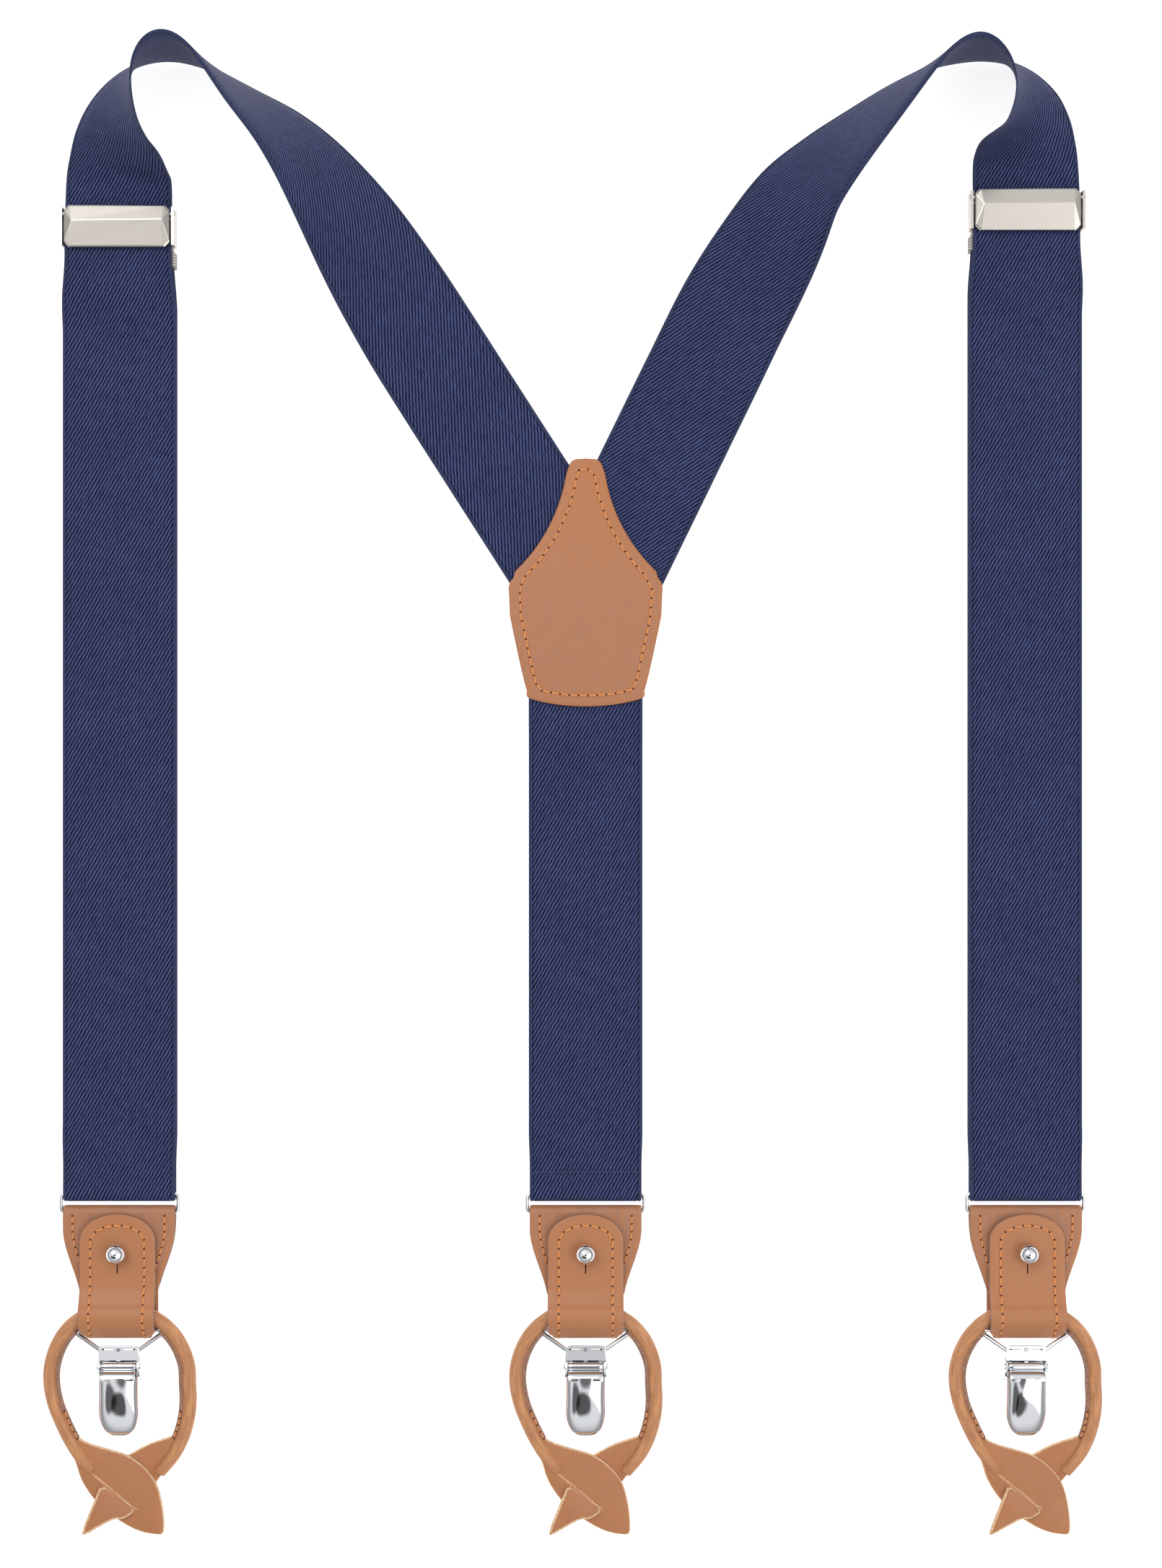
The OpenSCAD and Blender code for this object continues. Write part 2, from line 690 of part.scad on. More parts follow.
// ---- Bail and clip ----

// One side of the bail: the bend below the top bar, the slanting wire and the bend into the lower bar
module bail_side() {
    out = [sin(bail_slope), -cos(bail_slope)];
    along = [-cos(bail_slope), -sin(bail_slope)];
    top_c = [bail_half_w - bail_bend_r, bail_y - bail_bend_r];
    low_c = top_c + along * bail_slant_len;
    path = concat(
        [[top_c[0] - 0.3, bail_y]],
        arc(top_c, bail_bend_r, 90, bail_slope - 90, 8),
        arc(low_c, bail_bend_r, bail_slope - 90, -90, 3),
        [[low_c[0] - 0.3, clip_y]]
    );
    rings = [
        for (i = [0 : len(path) - 1])
            let (d = tangent(path, i), u = [-d[1], d[0], 0])
                [
                    for (k = [0 : 11])
                        [path[i][0], path[i][1], bail_z]
                            + (u * cos(30 * k) + [0, 0, sin(30 * k)]) * (bail_r - 0.01)
                ]
    ];
    loft(rings);
}

module bail(x) {
    top_half_len = bail_half_w - bail_bend_r;
    color(chrome) translate([x, 0, 0]) {
        bar(bail_y, bail_z, bail_r, 2 * top_half_len);
        bar(clip_y, bail_z, bail_r, 2 * bail_low_half_w);
        bail_side();
        mirror([1, 0, 0]) bail_side();
    }
}

module clip_frame(x) {
    plate = [
        [clip_y - 0.2, bail_z - knuckle_bore - clip_t / 2], [clip_y - 1.6, bail_z - knuckle_bore - clip_t / 2],
        [clip_y - 3, plate_z + clip_t / 2], [pad_tip_y - 0.6, plate_z + clip_t / 2]
    ];
    bridge = [
        [clip_y, bail_z + knuckle_bore + clip_t / 2], [clip_y - 2.4, bail_z + knuckle_bore + clip_t / 2]
    ];
    plate_half_w = clip_half_w - 0.9;
    color(chrome) translate([x, 0, 0]) difference() {
        union() {
            bar(clip_y, bail_z, knuckle_out, 2 * (bail_low_half_w - 1.3));
            across(band(plate, clip_t), 2 * (bail_low_half_w - 1.3));
            across(band(bridge, clip_t), 2 * (bail_low_half_w - 1.3));
            intersection() {
                across(band([plate[2], plate[3]], clip_t), 2 * plate_half_w);
                linear_extrude(5) polygon(lever_side_outline(plate_half_w, clip_y - 2.8, pad_tip_y - 0.6));
            }
            for (s = [-1, 1]) {
                translate([s * (ear_in + ear_out) / 2, 0, 0]) across([
                    [clip_y - 2.2, plate_z], [clip_y - 9.4, plate_z], [clip_y - 8.6, 2.6],
                    [lever_top_y + 0.3, 2.7], [clip_pin_y - 1.5, clip_pin_z + 0.9],
                    [clip_pin_y, clip_pin_z + 1.4],
                    [clip_pin_y + 1.4, clip_pin_z + 0.9], [clip_y - 2.2, 2.6]
                ], clip_t);
            }
            translate([-ear_out, clip_y - 9.4, plate_z]) cube([2 * ear_out, 6.4, clip_t]);
        }
        bar(clip_y, bail_z, knuckle_bore, 30);
        bar(clip_pin_y, clip_pin_z, clip_pin_r, 30);
    }
}

// Outline with straight sides and a rounded nose
function lever_side_outline(half, top_y, tip_y) = let (
    nose = 8.4,
    side = concat(
        [[half, top_y]],
        [for (a = [0 : 10 : 80]) [half * pow(cos(a), 0.72), tip_y + nose - nose * sin(a)]],
        [[0, tip_y]]
    )
) concat(side, mirrored(side));

module lever_dome(inset) {
    intersection() {
        translate([0, 0, lever_rim_z - 1])
            linear_extrude(20)
                polygon(lever_side_outline(clip_half_w - inset, lever_top_y - inset, lever_tip_y + inset));
        translate([0, 0, lever_crown_z - inset - crown_across_r]) rotate([90, 0, 0])
            cylinder(h = 600, r = crown_across_r, center = true, $fn = 96);
        bar(crown_peak_y, lever_crown_z - inset - crown_along_r, crown_along_r, 30);
    }
}

module clip_lever(x) {
    color(chrome) translate([x, 0, 0]) difference() {
        union() {
            difference() {
                lever_dome(0);
                lever_dome(lever_wall);
                translate([-10, lever_tip_y - 5, lever_rim_z - 10]) cube([20, 40, 10]);
            }
            bar(clip_pin_y, clip_pin_z, clip_pin_r + 0.8, 2 * lever_root_half_w);
            across([
                [clip_pin_y + 0.6, clip_pin_z + 1.2], [lever_top_y - 0.6, lever_crown_z - 0.6],
                [lever_top_y - 0.6, lever_crown_z - 1.4], [clip_pin_y - 1.2, clip_pin_z + 0.4]
            ], 2 * lever_root_half_w);
        }
        bar(clip_pin_y, clip_pin_z, clip_pin_r + pin_fit, 30);
    }
}

module clip_pin(x) {
    color(chrome) translate([x, 0, 0]) {
        bar(clip_pin_y, clip_pin_z, clip_pin_r, 2 * ear_out);
        for (s = [-1, 1]) {
            translate([s * (ear_out + 0.2), 0, 0]) bar(clip_pin_y, clip_pin_z, clip_pin_r + 0.3, 0.4);
        }
    }
}

// Leaf that the lever's cam presses down on the cloth
module clip_spring(x) {
    leaf = [
        [clip_y - 3.3, 1.6], [clip_pin_y - 1, 1.65], [clip_pin_y - 5, 2.2], [pad_tip_y + 3, 2.2],
        [pad_tip_y + 0.4, 1.95]
    ];
    color(chrome) translate([x, 0, 0]) across(band(leaf, 0.4), 7);
}

module jaw_pad(x) {
    color([0.85, 0.85, 0.85]) translate([x, 0, plate_z + clip_t]) difference() {
        translate([-4, pad_tip_y + 0.4, 0]) cube([8, pad_top_y - pad_tip_y - 0.4, pad_t]);
        for (i = [1 : 6]) {
            translate([0, pad_tip_y + 0.4 + i * 1.2, pad_t]) rotate([45, 0, 0])
                cube([10, 0.5, 0.5], center = true);
        }
    }
}

// ---- The pieces by name ----

y_patch_front();
y_patch_back();
back_strap();
left_shoulder_strap();
right_shoulder_strap();
front_run(-front_x, left_adjuster_y);  // left_front_run
front_run(front_x, right_adjuster_y);  // right_front_run
rear_run(-front_x, left_adjuster_y);  // left_rear_run
rear_run(front_x, right_adjuster_y);  // right_rear_run
for (s = [["left", -front_x, left_adjuster_y], ["right", front_x, right_adjuster_y]]) {
    adjuster_frame(s[1], s[2]);
    adjuster_lever(s[1], s[2]);
    adjuster_pins(s[1], s[2]);
    sewn_end(s[1], s[2]);
}
for (e = [["left", -front_x], ["right", front_x], ["back", back_x]]) {
    strap_fold(e[1], fold_end_y - ring_y);
    ring(e[1]);
    tab(e[1]);
    stud(e[1]);
    clip_strap(e[1]);
    flap(e[1]);
    button_loop(e[1]);
    bail(e[1]);
    clip_frame(e[1]);
    clip_spring(e[1]);
    clip_lever(e[1]);
    clip_pin(e[1]);
    jaw_pad(e[1]);
}
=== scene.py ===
"""Y-back suspenders lying face up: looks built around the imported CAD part.

Shapes are worked out in millimetres in the row frame (+Z up, +Y towards the shoulders) and become
metres when a mesh is made. Every piece carries a "cloth" attribute in millimetres (across, along,
distance from the edge), and the materials draw their weave, grain and edges from it.
"""

import math
import random

import bmesh
import bpy
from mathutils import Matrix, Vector


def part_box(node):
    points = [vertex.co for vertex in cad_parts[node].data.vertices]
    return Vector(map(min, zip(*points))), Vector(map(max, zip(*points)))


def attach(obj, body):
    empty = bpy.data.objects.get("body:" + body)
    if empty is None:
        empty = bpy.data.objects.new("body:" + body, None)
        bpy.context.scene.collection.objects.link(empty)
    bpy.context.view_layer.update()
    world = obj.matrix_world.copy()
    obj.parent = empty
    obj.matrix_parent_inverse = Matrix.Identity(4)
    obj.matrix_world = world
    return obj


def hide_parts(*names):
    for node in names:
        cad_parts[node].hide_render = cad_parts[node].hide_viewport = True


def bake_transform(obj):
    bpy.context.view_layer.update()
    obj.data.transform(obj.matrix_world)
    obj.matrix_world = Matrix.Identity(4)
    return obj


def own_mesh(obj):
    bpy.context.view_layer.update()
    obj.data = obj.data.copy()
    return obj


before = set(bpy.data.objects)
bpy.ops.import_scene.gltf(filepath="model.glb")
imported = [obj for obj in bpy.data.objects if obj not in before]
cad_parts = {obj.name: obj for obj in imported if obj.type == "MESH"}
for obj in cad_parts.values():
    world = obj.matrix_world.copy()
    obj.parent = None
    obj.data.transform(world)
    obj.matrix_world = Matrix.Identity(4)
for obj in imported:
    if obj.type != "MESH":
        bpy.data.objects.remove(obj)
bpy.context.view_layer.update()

MM = 0.001
SIDES = {"left": -1, "right": 1}
ENDS = ("left", "right", "back")
UP = (0, 0, 1)


def middle(node, axis):
    """The middle of a CAD node along one axis, in millimetres."""
    low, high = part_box(node)
    return (low[axis] + high[axis]) / 2 / MM


# ---- Sizes: the frame's places, and the part's own sizes in millimetres ----

END_X = {end: middle(f"{end}_ring", 0) for end in ENDS}
ADJUSTER_Y = {side: middle(f"{side}_adjuster_frame", 1) for side in SIDES}
BACK_X = END_X["back"]

STRAP_W = 34.5
STRAP_T = 1.3
IN_ADJUSTER_W = 32.4
IN_FOLD_W = 33.8
PATCH_T = 1.2
LEATHER_T = 1.3
FLAP_T = 1.4
RING_R = 0.6
RING_Y = -121.0
RING_LOW_Y = -126.3
RING_HALF_W = 17.7
RING_Z = 2.1
FOLD_BORE = 0.8
FOLD_END_Y = -113.0
FRONT_FOLD_Z = 3.55
FRONT_WEB_Z = 2.15
OVER_SEWN_Z = 4.85
IN_ADJUSTER_Z = 3.35
STRAP_MEET_Y = 57.0
CHANNEL_Y = -157.0
CHANNEL_Z = 4.9
CHANNEL_OUT = 3.4
CHANNEL_WALL = 1.2
STUD_Y = -137.9
FLAP_HALF_W = 11.4
FLAP_TOP_Y = -126.4
FLAP_ARCH = 8.0
FLAP_Z = 5.6
SEAM_INSET = 3.3
BAIL_Y = -161.9
BAIL_Z = 2.5
BAIL_R = 0.7
CLIP_PIN_Y = -172.7
CLIP_PIN_Z = 3.7
LEVER_TOP_Y = -175.1
LEVER_TIP_Y = -193.9
STITCH_PITCH = 2.8

# Outer edge of each shoulder loop, close to the part's: x, y, height of the edge's middle, tilt of the
# width, width. The right one is given as its mirror image.
LEFT_LOOP = [
    (-153.3, 178, 3.1, 0, 32.4), (-153.1, 187, 1.8, 9, 33), (-152.3, 193, 0.9, 22, 34),
    (-150.4, 201, 0.65, 36, 34.5), (-146.6, 208.8, 0.65, 46, 34.5), (-141, 215.4, 0.65, 56, 34.5),
    (-134, 220.2, 0.65, 68, 34.5), (-126, 222.5, 0.65, 83, 34.5), (-117.5, 222.2, 0.65, 89, 34.5),
    (-107.5, 219, 0.65, 83, 34.5), (-95.5, 213, 0.65, 70, 34.5), (-82, 205.8, 0.65, 58, 34.5),
    (-69, 195.6, 0.65, 47, 34.5), (-54.7, 180.3, 0.65, 31, 34.5), (-41, 161.8, 0.65, 15, 34.5),
    (-29, 143.6, 0.65, 3, 34.5), (-18, 126.4, 1, 0, 34.5), (-5, 106.1, 1.83, 0, 34.5),
    (8, 85.8, 1.9, 0, 34.5), (26, 57.6, 1.9, 0, 34.5),
]
RIGHT_LOOP = [
    (-153.3, 183, 3.1, 0, 32.4), (-153, 192, 1.8, 9, 33), (-152.3, 198, 0.9, 19, 34),
    (-150.6, 205, 0.65, 30, 34.5), (-147, 212, 0.65, 41, 34.5), (-141, 217.8, 0.65, 53, 34.5),
    (-134, 221.4, 0.65, 65, 34.5), (-126, 222.8, 0.65, 80, 34.5), (-117.5, 222.3, 0.65, 88, 34.5),
    (-107.5, 220, 0.65, 82, 34.5), (-96, 214.6, 0.65, 72, 34.5), (-83, 206.8, 0.65, 61, 34.5),
    (-70.5, 198.8, 0.65, 50, 34.5), (-57.5, 188.5, 0.65, 38, 34.5), (-45, 172.5, 0.65, 21, 34.5),
    (-34, 155.2, 0.65, 7, 34.5), (-22.4, 132, 0.9, 0, 34.5), (-10.4, 107.4, 1.83, 0, 34.5),
    (2, 82, 1.9, 0, 34.5), (14, 57.4, 1.9, 0, 34.5),
]
# The rolled leather's centre line from the channel down, for the right half: x from the end's middle,
# y, z, radius
ROLL_START = [
    (0, -157, 4.9, 2.1), (4, -157, 4.9, 2.1), (9.3, -157.1, 5, 2.1), (11.6, -158.2, 4.85, 2.1),
    (14.3, -160.3, 4.4, 2.1), (17.1, -163.6, 3.7, 2.1), (19.4, -168, 2.9, 2.1), (20.8, -173, 2.3, 2.1),
    (21, -178, 2.1, 2.1),
]
LEFT_ROLL = [
    (-19.9, -184, 2.1, 2.1), (-17.8, -189.4, 2.1, 2.1), (-15.2, -194.8, 2.1, 2.1),
    (-12.4, -199.4, 2.15, 2.05), (-9.8, -202.9, 2.2, 1.8), (-8.2, -204.6, 2.2, 1.4),
]
RIGHT_ROLL = [
    (21.2, -183.6, 2.1, 2.1), (20.6, -189, 2.1, 2.1), (19.1, -194.3, 2.1, 2.1),
    (16.7, -199.2, 2.1, 2.05), (14, -202.9, 2, 1.9), (12.2, -205.2, 1.9, 1.7),
]
# Outlines of the two flat ends and the tongue, anticlockwise from above, and the slit that the tongue
# comes through
LEFT_FLAT = [
    (-15.6, -192.4), (-15.4, -196), (-14, -200), (-12.9, -203), (-12.2, -205.6), (-10.8, -208.8),
    (-7.4, -213.7), (-1, -219.1), (5.8, -223), (12.2, -224), (13.6, -223.4), (13.4, -217.1),
    (11.7, -208.8), (8.2, -203.9), (3.1, -200), (-2.5, -198.3), (-8, -196.8), (-11.6, -195.3),
    (-14, -193),
]
RIGHT_FLAT = [
    (18.4, -193.2), (15.2, -194.4), (9.7, -196.2), (3.1, -199.8), (-3, -203.5), (-6.2, -208),
    (-2, -213), (4.6, -215.6), (9, -211), (12.4, -206.4), (15, -203), (17.6, -198.8),
]
TONGUE = [
    (-5.4, -208.2), (-7.4, -213.2), (-11.5, -223.3), (-10.3, -223.8), (-5.6, -221), (-1, -218.6),
    (1.1, -219.1), (5.6, -216.2), (0.2, -212.2),
]
SLIT = ((-8.9, -204.9), (5.4, -216.4))


# ---- Points and curves ----


def smooth(t):
    t = min(max(t, 0.0), 1.0)
    return t * t * (3 - 2 * t)


def lerp(a, b, t):
    return a + (b - a) * t


def arc(centre, radius, start, end, steps):
    """Points of an arc, its angles in degrees."""
    angles = (math.radians(lerp(start, end, i / steps)) for i in range(steps + 1))
    return [(centre[0] + radius * math.cos(a), centre[1] + radius * math.sin(a)) for a in angles]


def bezier(a, b, c, steps):
    points = []
    for i in range(steps + 1):
        t = i / steps
        points.append(tuple(p * (1 - t) ** 2 + q * 2 * t * (1 - t) + r * t * t for p, q, r in zip(a, b, c)))
    return points


def curve(rows, steps):
    """A smooth curve through rows of numbers, with some steps between each two rows."""
    def value(p, q, r, s, t):
        square, cube = 2 * p - 5 * q + 4 * r - s, 3 * q - p - 3 * r + s
        return 0.5 * (2 * q + (r - p) * t + square * t**2 + cube * t**3)

    out = []
    for i in range(len(rows) - 1):
        four = (rows[max(i - 1, 0)], rows[i], rows[i + 1], rows[min(i + 2, len(rows) - 1)])
        out += [tuple(value(*numbers, k / steps) for numbers in zip(*four)) for k in range(steps)]
    return out + [tuple(rows[-1])]


def lengths(points):
    """Distance along a line at each of its points."""
    out = [0.0]
    for a, b in zip(points, points[1:]):
        out.append(out[-1] + (Vector(b) - Vector(a)).length)
    return out


def tangents(points):
    last = len(points) - 1
    pairs = ((points[max(i - 1, 0)], points[min(i + 1, last)]) for i in range(last + 1))
    return [(Vector(ahead) - Vector(behind)).normalized() for behind, ahead in pairs]


def rectangle(x0, x1, y0, y1):
    return [(x0, y0), (x1, y0), (x1, y1), (x0, y1)]


def mirrored(side):
    return [(-x, y) for x, y in reversed(side)]


def rounded(outline, times):
    """A closed outline with its corners cut a few times over."""
    for _ in range(times):
        pairs = zip(outline, outline[1:] + outline[:1])
        outline = [tuple(lerp(a, b, t) for a, b in zip(p, q)) for p, q in pairs for t in (0.25, 0.75)]
    return outline


def offset_inside(outline, distance):
    """The outline moved inwards, without the loops that a plain offset makes at tight corners."""
    count = len(outline)
    moved = []
    for i, (x, y) in enumerate(outline):
        along = Vector(outline[(i + 1) % count]) - Vector(outline[i - 1])
        inward = Vector((-along.y, along.x)).normalized()
        p = Vector((x, y)) + inward * distance
        if min((p - Vector(q)).length for q in outline) > distance - 0.04:
            moved.append(tuple(p))
    return moved


def even_points(points, spacing, closed=False):
    """Points along a line at an even spacing that fits it."""
    line = [Vector(p) for p in points] + ([Vector(points[0])] if closed else [])
    along = lengths(line)
    count = max(2, round(along[-1] / spacing))
    out, i = [], 0
    for k in range(count + 1):
        s = along[-1] * k / count
        while i < len(line) - 2 and along[i + 1] < s:
            i += 1
        t = (s - along[i]) / max(along[i + 1] - along[i], 1e-9)
        out.append(line[i].lerp(line[i + 1], min(max(t, 0), 1)))
    return out


# ---- Meshes ----


def add_object(name, data):
    obj = bpy.data.objects.new(name, data)
    bpy.context.scene.collection.objects.link(obj)
    return obj


def make_mesh(name, points, faces, cloth, materials, face_materials=None, sharp=40):
    """A shaded mesh object from points in millimetres, with its cloth attribute."""
    mesh = bpy.data.meshes.new(name)
    mesh.from_pydata([[c * MM for c in p] for p in points], [], faces)
    attribute = mesh.attributes.new("cloth", "FLOAT_VECTOR", "POINT")
    attribute.data.foreach_set("vector", [c for row in cloth for c in row])
    for material in materials:
        mesh.materials.append(material)
    if face_materials:
        mesh.polygons.foreach_set("material_index", face_materials)
    mesh.polygons.foreach_set("use_smooth", [True] * len(mesh.polygons))
    mesh.set_sharp_from_angle(angle=math.radians(sharp))
    mesh.validate()
    mesh.update()
    return add_object(name, mesh)


def loft(name, rings, cloth, materials, material_at=None, closed=False, sharp=40):
    """A tube of rings with equal point counts, capped unless closed. material_at takes ring and point."""
    count = len(rings[0])
    material_at = material_at or (lambda i, j: 0)
    faces, kinds = [], []
    for i in range(len(rings) if closed else len(rings) - 1):
        row, nxt = i * count, (i + 1) % len(rings) * count
        for j in range(count):
            k = (j + 1) % count
            faces.append((row + j, row + k, nxt + k, nxt + j))
            kinds.append(material_at(i, j))
    if not closed:
        last = (len(rings) - 1) * count
        faces += [tuple(reversed(range(count))), tuple(range(last, last + count))]
        kinds += [material_at(0, 0)] * 2
    points, rows = ([item for ring in table for item in ring] for table in (rings, cloth))
    return make_mesh(name, points, faces, rows, materials, kinds, sharp)


def tube(name, path, radius, material, sides=12, closed=False):
    """A round wire along a path; its radius is one number or one for each point."""
    sizes = radius if isinstance(radius, list) else [radius] * len(path)
    rings, cloth = [], []
    along = lengths(path)
    count = len(path)
    for i, p in enumerate(path):
        ahead = path[(i + 1) % count] if closed else path[min(i + 1, count - 1)]
        behind = path[i - 1] if closed else path[max(i - 1, 0)]
        heading = (Vector(ahead) - Vector(behind)).normalized()
        out = heading.cross(Vector(UP)).normalized()
        up = out.cross(heading)
        turn = [2 * math.pi * k / sides for k in range(sides)]
        rings.append([Vector(p) + (out * math.cos(a) + up * math.sin(a)) * sizes[i] for a in turn])
        cloth.append([(a * sizes[i], along[i], sizes[i]) for a in turn])
    return loft(name, rings, cloth, [material], closed=closed)


def lathe(name, profile, centre, material, steps=32):
    """A solid turned round a vertical axis, from a profile of (radius, z) that goes up."""
    rings, cloth = [], []
    x, y = centre
    for i in range(steps):
        a = 2 * math.pi * i / steps
        rings.append([(x + r * math.cos(a), y + r * math.sin(a), z) for r, z in reversed(profile)])
        cloth.append([(a * r, z, r) for r, z in reversed(profile)])
    return loft(name, rings, cloth, [material], closed=True, sharp=50)


def plate(name, outline, low, high, materials, edge=0.4, dome=0.0, lift=None):
    """A flat piece with rounded edges from an anticlockwise outline; its rim takes the last material."""
    steps = [
        (edge, low), (edge * 0.3, low + edge * 0.3), (0, low + edge),
        (0, high - edge), (edge * 0.3, high - edge * 0.3), (edge, high),
    ]
    if dome:
        steps.append((edge + 0.6, high + dome))
    count = len(outline)
    rings, cloth = [], []
    for inset, z in steps:
        ring = []
        for i, (x, y) in enumerate(outline):
            along = Vector(outline[(i + 1) % count]) - Vector(outline[i - 1])
            inward = Vector((-along.y, along.x)).normalized()
            rise = lift(x, y) if lift else 0
            ring.append((x + inward.x * inset, y + inward.y * inset, z + rise))
        rings.append(ring)
        cloth.append([(x, y, inset) for x, y, _ in ring])
    rim = len(materials) - 1
    obj = loft(name, rings, cloth, materials, lambda i, j: rim if 1 <= i <= 4 else 0)
    shape = bmesh.new()
    shape.from_mesh(obj.data)
    bmesh.ops.triangulate(shape, faces=[f for f in shape.faces if len(f.verts) > 4])
    shape.to_mesh(obj.data)
    shape.free()
    return obj


def apply_modifiers(obj):
    """Replaces the mesh by what its modifiers make of it."""
    graph = bpy.context.evaluated_depsgraph_get()
    shown = obj.evaluated_get(graph)
    done = bpy.data.meshes.new_from_object(shown, preserve_all_data_layers=True, depsgraph=graph)
    obj.modifiers.clear()
    obj.data = done


def cut_out(obj, *cutters):
    """Takes the cutters' shapes out of the piece."""
    for cutter in cutters:
        step = obj.modifiers.new("cut", "BOOLEAN")
        step.object = cutter
        step.solver = "EXACT"
        apply_modifiers(obj)
        bpy.data.objects.remove(cutter)
    obj.data.set_sharp_from_angle(angle=math.radians(40))


def keep_side(obj, point, normal):
    """Cuts a closed mesh at a plane and keeps the side that the normal points to."""
    shape = bmesh.new()
    shape.from_mesh(obj.data)
    everything = shape.verts[:] + shape.edges[:] + shape.faces[:]
    bmesh.ops.bisect_plane(
        shape, geom=everything, plane_co=Vector(point) * MM, plane_no=Vector(normal), clear_inner=True
    )
    bmesh.ops.holes_fill(shape, edges=[e for e in shape.edges if e.is_boundary], sides=0)
    shape.to_mesh(obj.data)
    shape.free()


def join(name, parts):
    """Joins objects into the first one, under a new name."""
    with bpy.context.temp_override(active_object=parts[0], selected_editable_objects=parts):
        bpy.ops.object.join()
    parts[0].name = name
    return parts[0]


def faceted(obj):
    """Shades a piece of pressed metal flat, face by face."""
    obj.data.polygons.foreach_set("use_smooth", [False] * len(obj.data.polygons))
    return obj


def finished(obj, body, slot, *nodes):
    """Puts a piece on its body and hides the CAD nodes that it stands for; its slot is not used."""
    if body:
        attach(obj, body)
    if nodes:
        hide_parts(*nodes)
    return obj


# ---- Strips: webbing and leather follow a line, face up where the line leads towards +Y ----


def webbing_section(half, thick):
    """Right half of webbing's section, top then bottom: a flat field, a groove, a rounded selvedge."""
    h = thick / 2
    top = [
        (half - 1.5, h), (half - 1.2, h - 0.14), (half - 0.85, h - 0.01),
        (half - 0.4, h - 0.03), (half - 0.1, h - 0.28), (half, 0.0),
    ]
    return top + [(u, -n) for u, n in reversed(top[:-1])]


def leather_section(half, thick):
    h = thick / 2
    narrow = min(1, half / 1.6)
    top = [
        (half - 1.4 * narrow, h), (half - 0.5 * narrow, h - 0.03), (half - 0.16 * narrow, h - 0.14),
        (half, h - 0.42), (half, 0.0),
    ]
    return top + [(u, -n) for u, n in reversed(top[:-1])]


def strip(name, stations, thick, section, materials, rim=False, columns=8):
    """A strip through stations of (middle, across, normal, half width, distance along)."""
    rings, cloth = [], []
    for centre, across, normal, half, along in stations:
        right = section(half, thick)
        field = right[0][0]
        flat = [(lerp(-field, field, k / columns), thick / 2) for k in range(1, columns)]
        ring = flat + right + [(u, -n) for u, n in reversed(flat)] + [(-u, n) for u, n in reversed(right)]
        rings.append([centre + across * u + normal * n for u, n in ring])
        cloth.append([(u, along, half - abs(u)) for u, n in ring])
    count = len(rings[0])
    edge_points = len(section(5, thick))
    kinds = [0] * count
    if rim:
        first = columns - 1
        second = first + edge_points + columns - 1
        for start in (first, second):
            for j in range(start + 2, start + edge_points - 3):
                kinds[j] = len(materials) - 1
    return loft(name, rings, cloth, materials, lambda i, j: kinds[j])


def line_stations(x, line, half_at, shift_at=None):
    """Stations along a line of (y, z) points at one x."""
    along = lengths(line)
    out = []
    for (y, z), s, heading in zip(line, along, tangents(line)):
        across = Vector((1, 0, 0))
        normal = across.cross(Vector((0, heading[0], heading[1])))
        shift = shift_at(y) if shift_at else 0
        out.append((Vector((x + shift, y, z)), across, normal, half_at(y, s), s))
    return out


def fine_line(line, spacing):
    """A line of (y, z) points made even, keeping its shape."""
    return [(p[0], p[1]) for p in even_points(line, spacing)]


def loop_stations(rows, flip, start):
    """Stations of a shoulder loop, from its outer edge's rows; flip makes the mirror image."""
    rows = curve(rows, 8)
    headings = tangents([(r[0], r[1]) for r in rows])
    along, out = start, []
    before = None
    leans = []
    for (_, _, _, tilt, _), heading in zip(rows, headings):
        c, s = math.cos(math.radians(tilt)), math.sin(math.radians(tilt))
        leans.append(Vector((heading.y * c, -heading.x * c, s)))
    for i, ((x, y, z, tilt, width), heading) in enumerate(zip(rows, headings)):
        reach = min(4, i, len(rows) - 1 - i)
        inward = sum(leans[i - reach:i + reach + 1], Vector()).normalized()
        normal = inward.cross(Vector((heading.x, heading.y, 0))).normalized()
        centre = Vector((x, y, z)) + inward * width / 2
        across = inward
        if flip:
            centre, across, normal = (Vector((-v.x, v.y, v.z)) for v in (centre, inward, normal))
            across = -across
        along += (centre - before).length if before else 0
        before = centre
        out.append((centre, across, normal, width / 2, along))
    return out


# ---- Materials ----


def colour(red, green, blue):
    """A colour from its 0 to 255 screen values."""
    def linear(c):
        c /= 255
        return c / 12.92 if c <= 0.04045 else ((c + 0.055) / 1.055) ** 2.4
    return (linear(red), linear(green), linear(blue), 1.0)


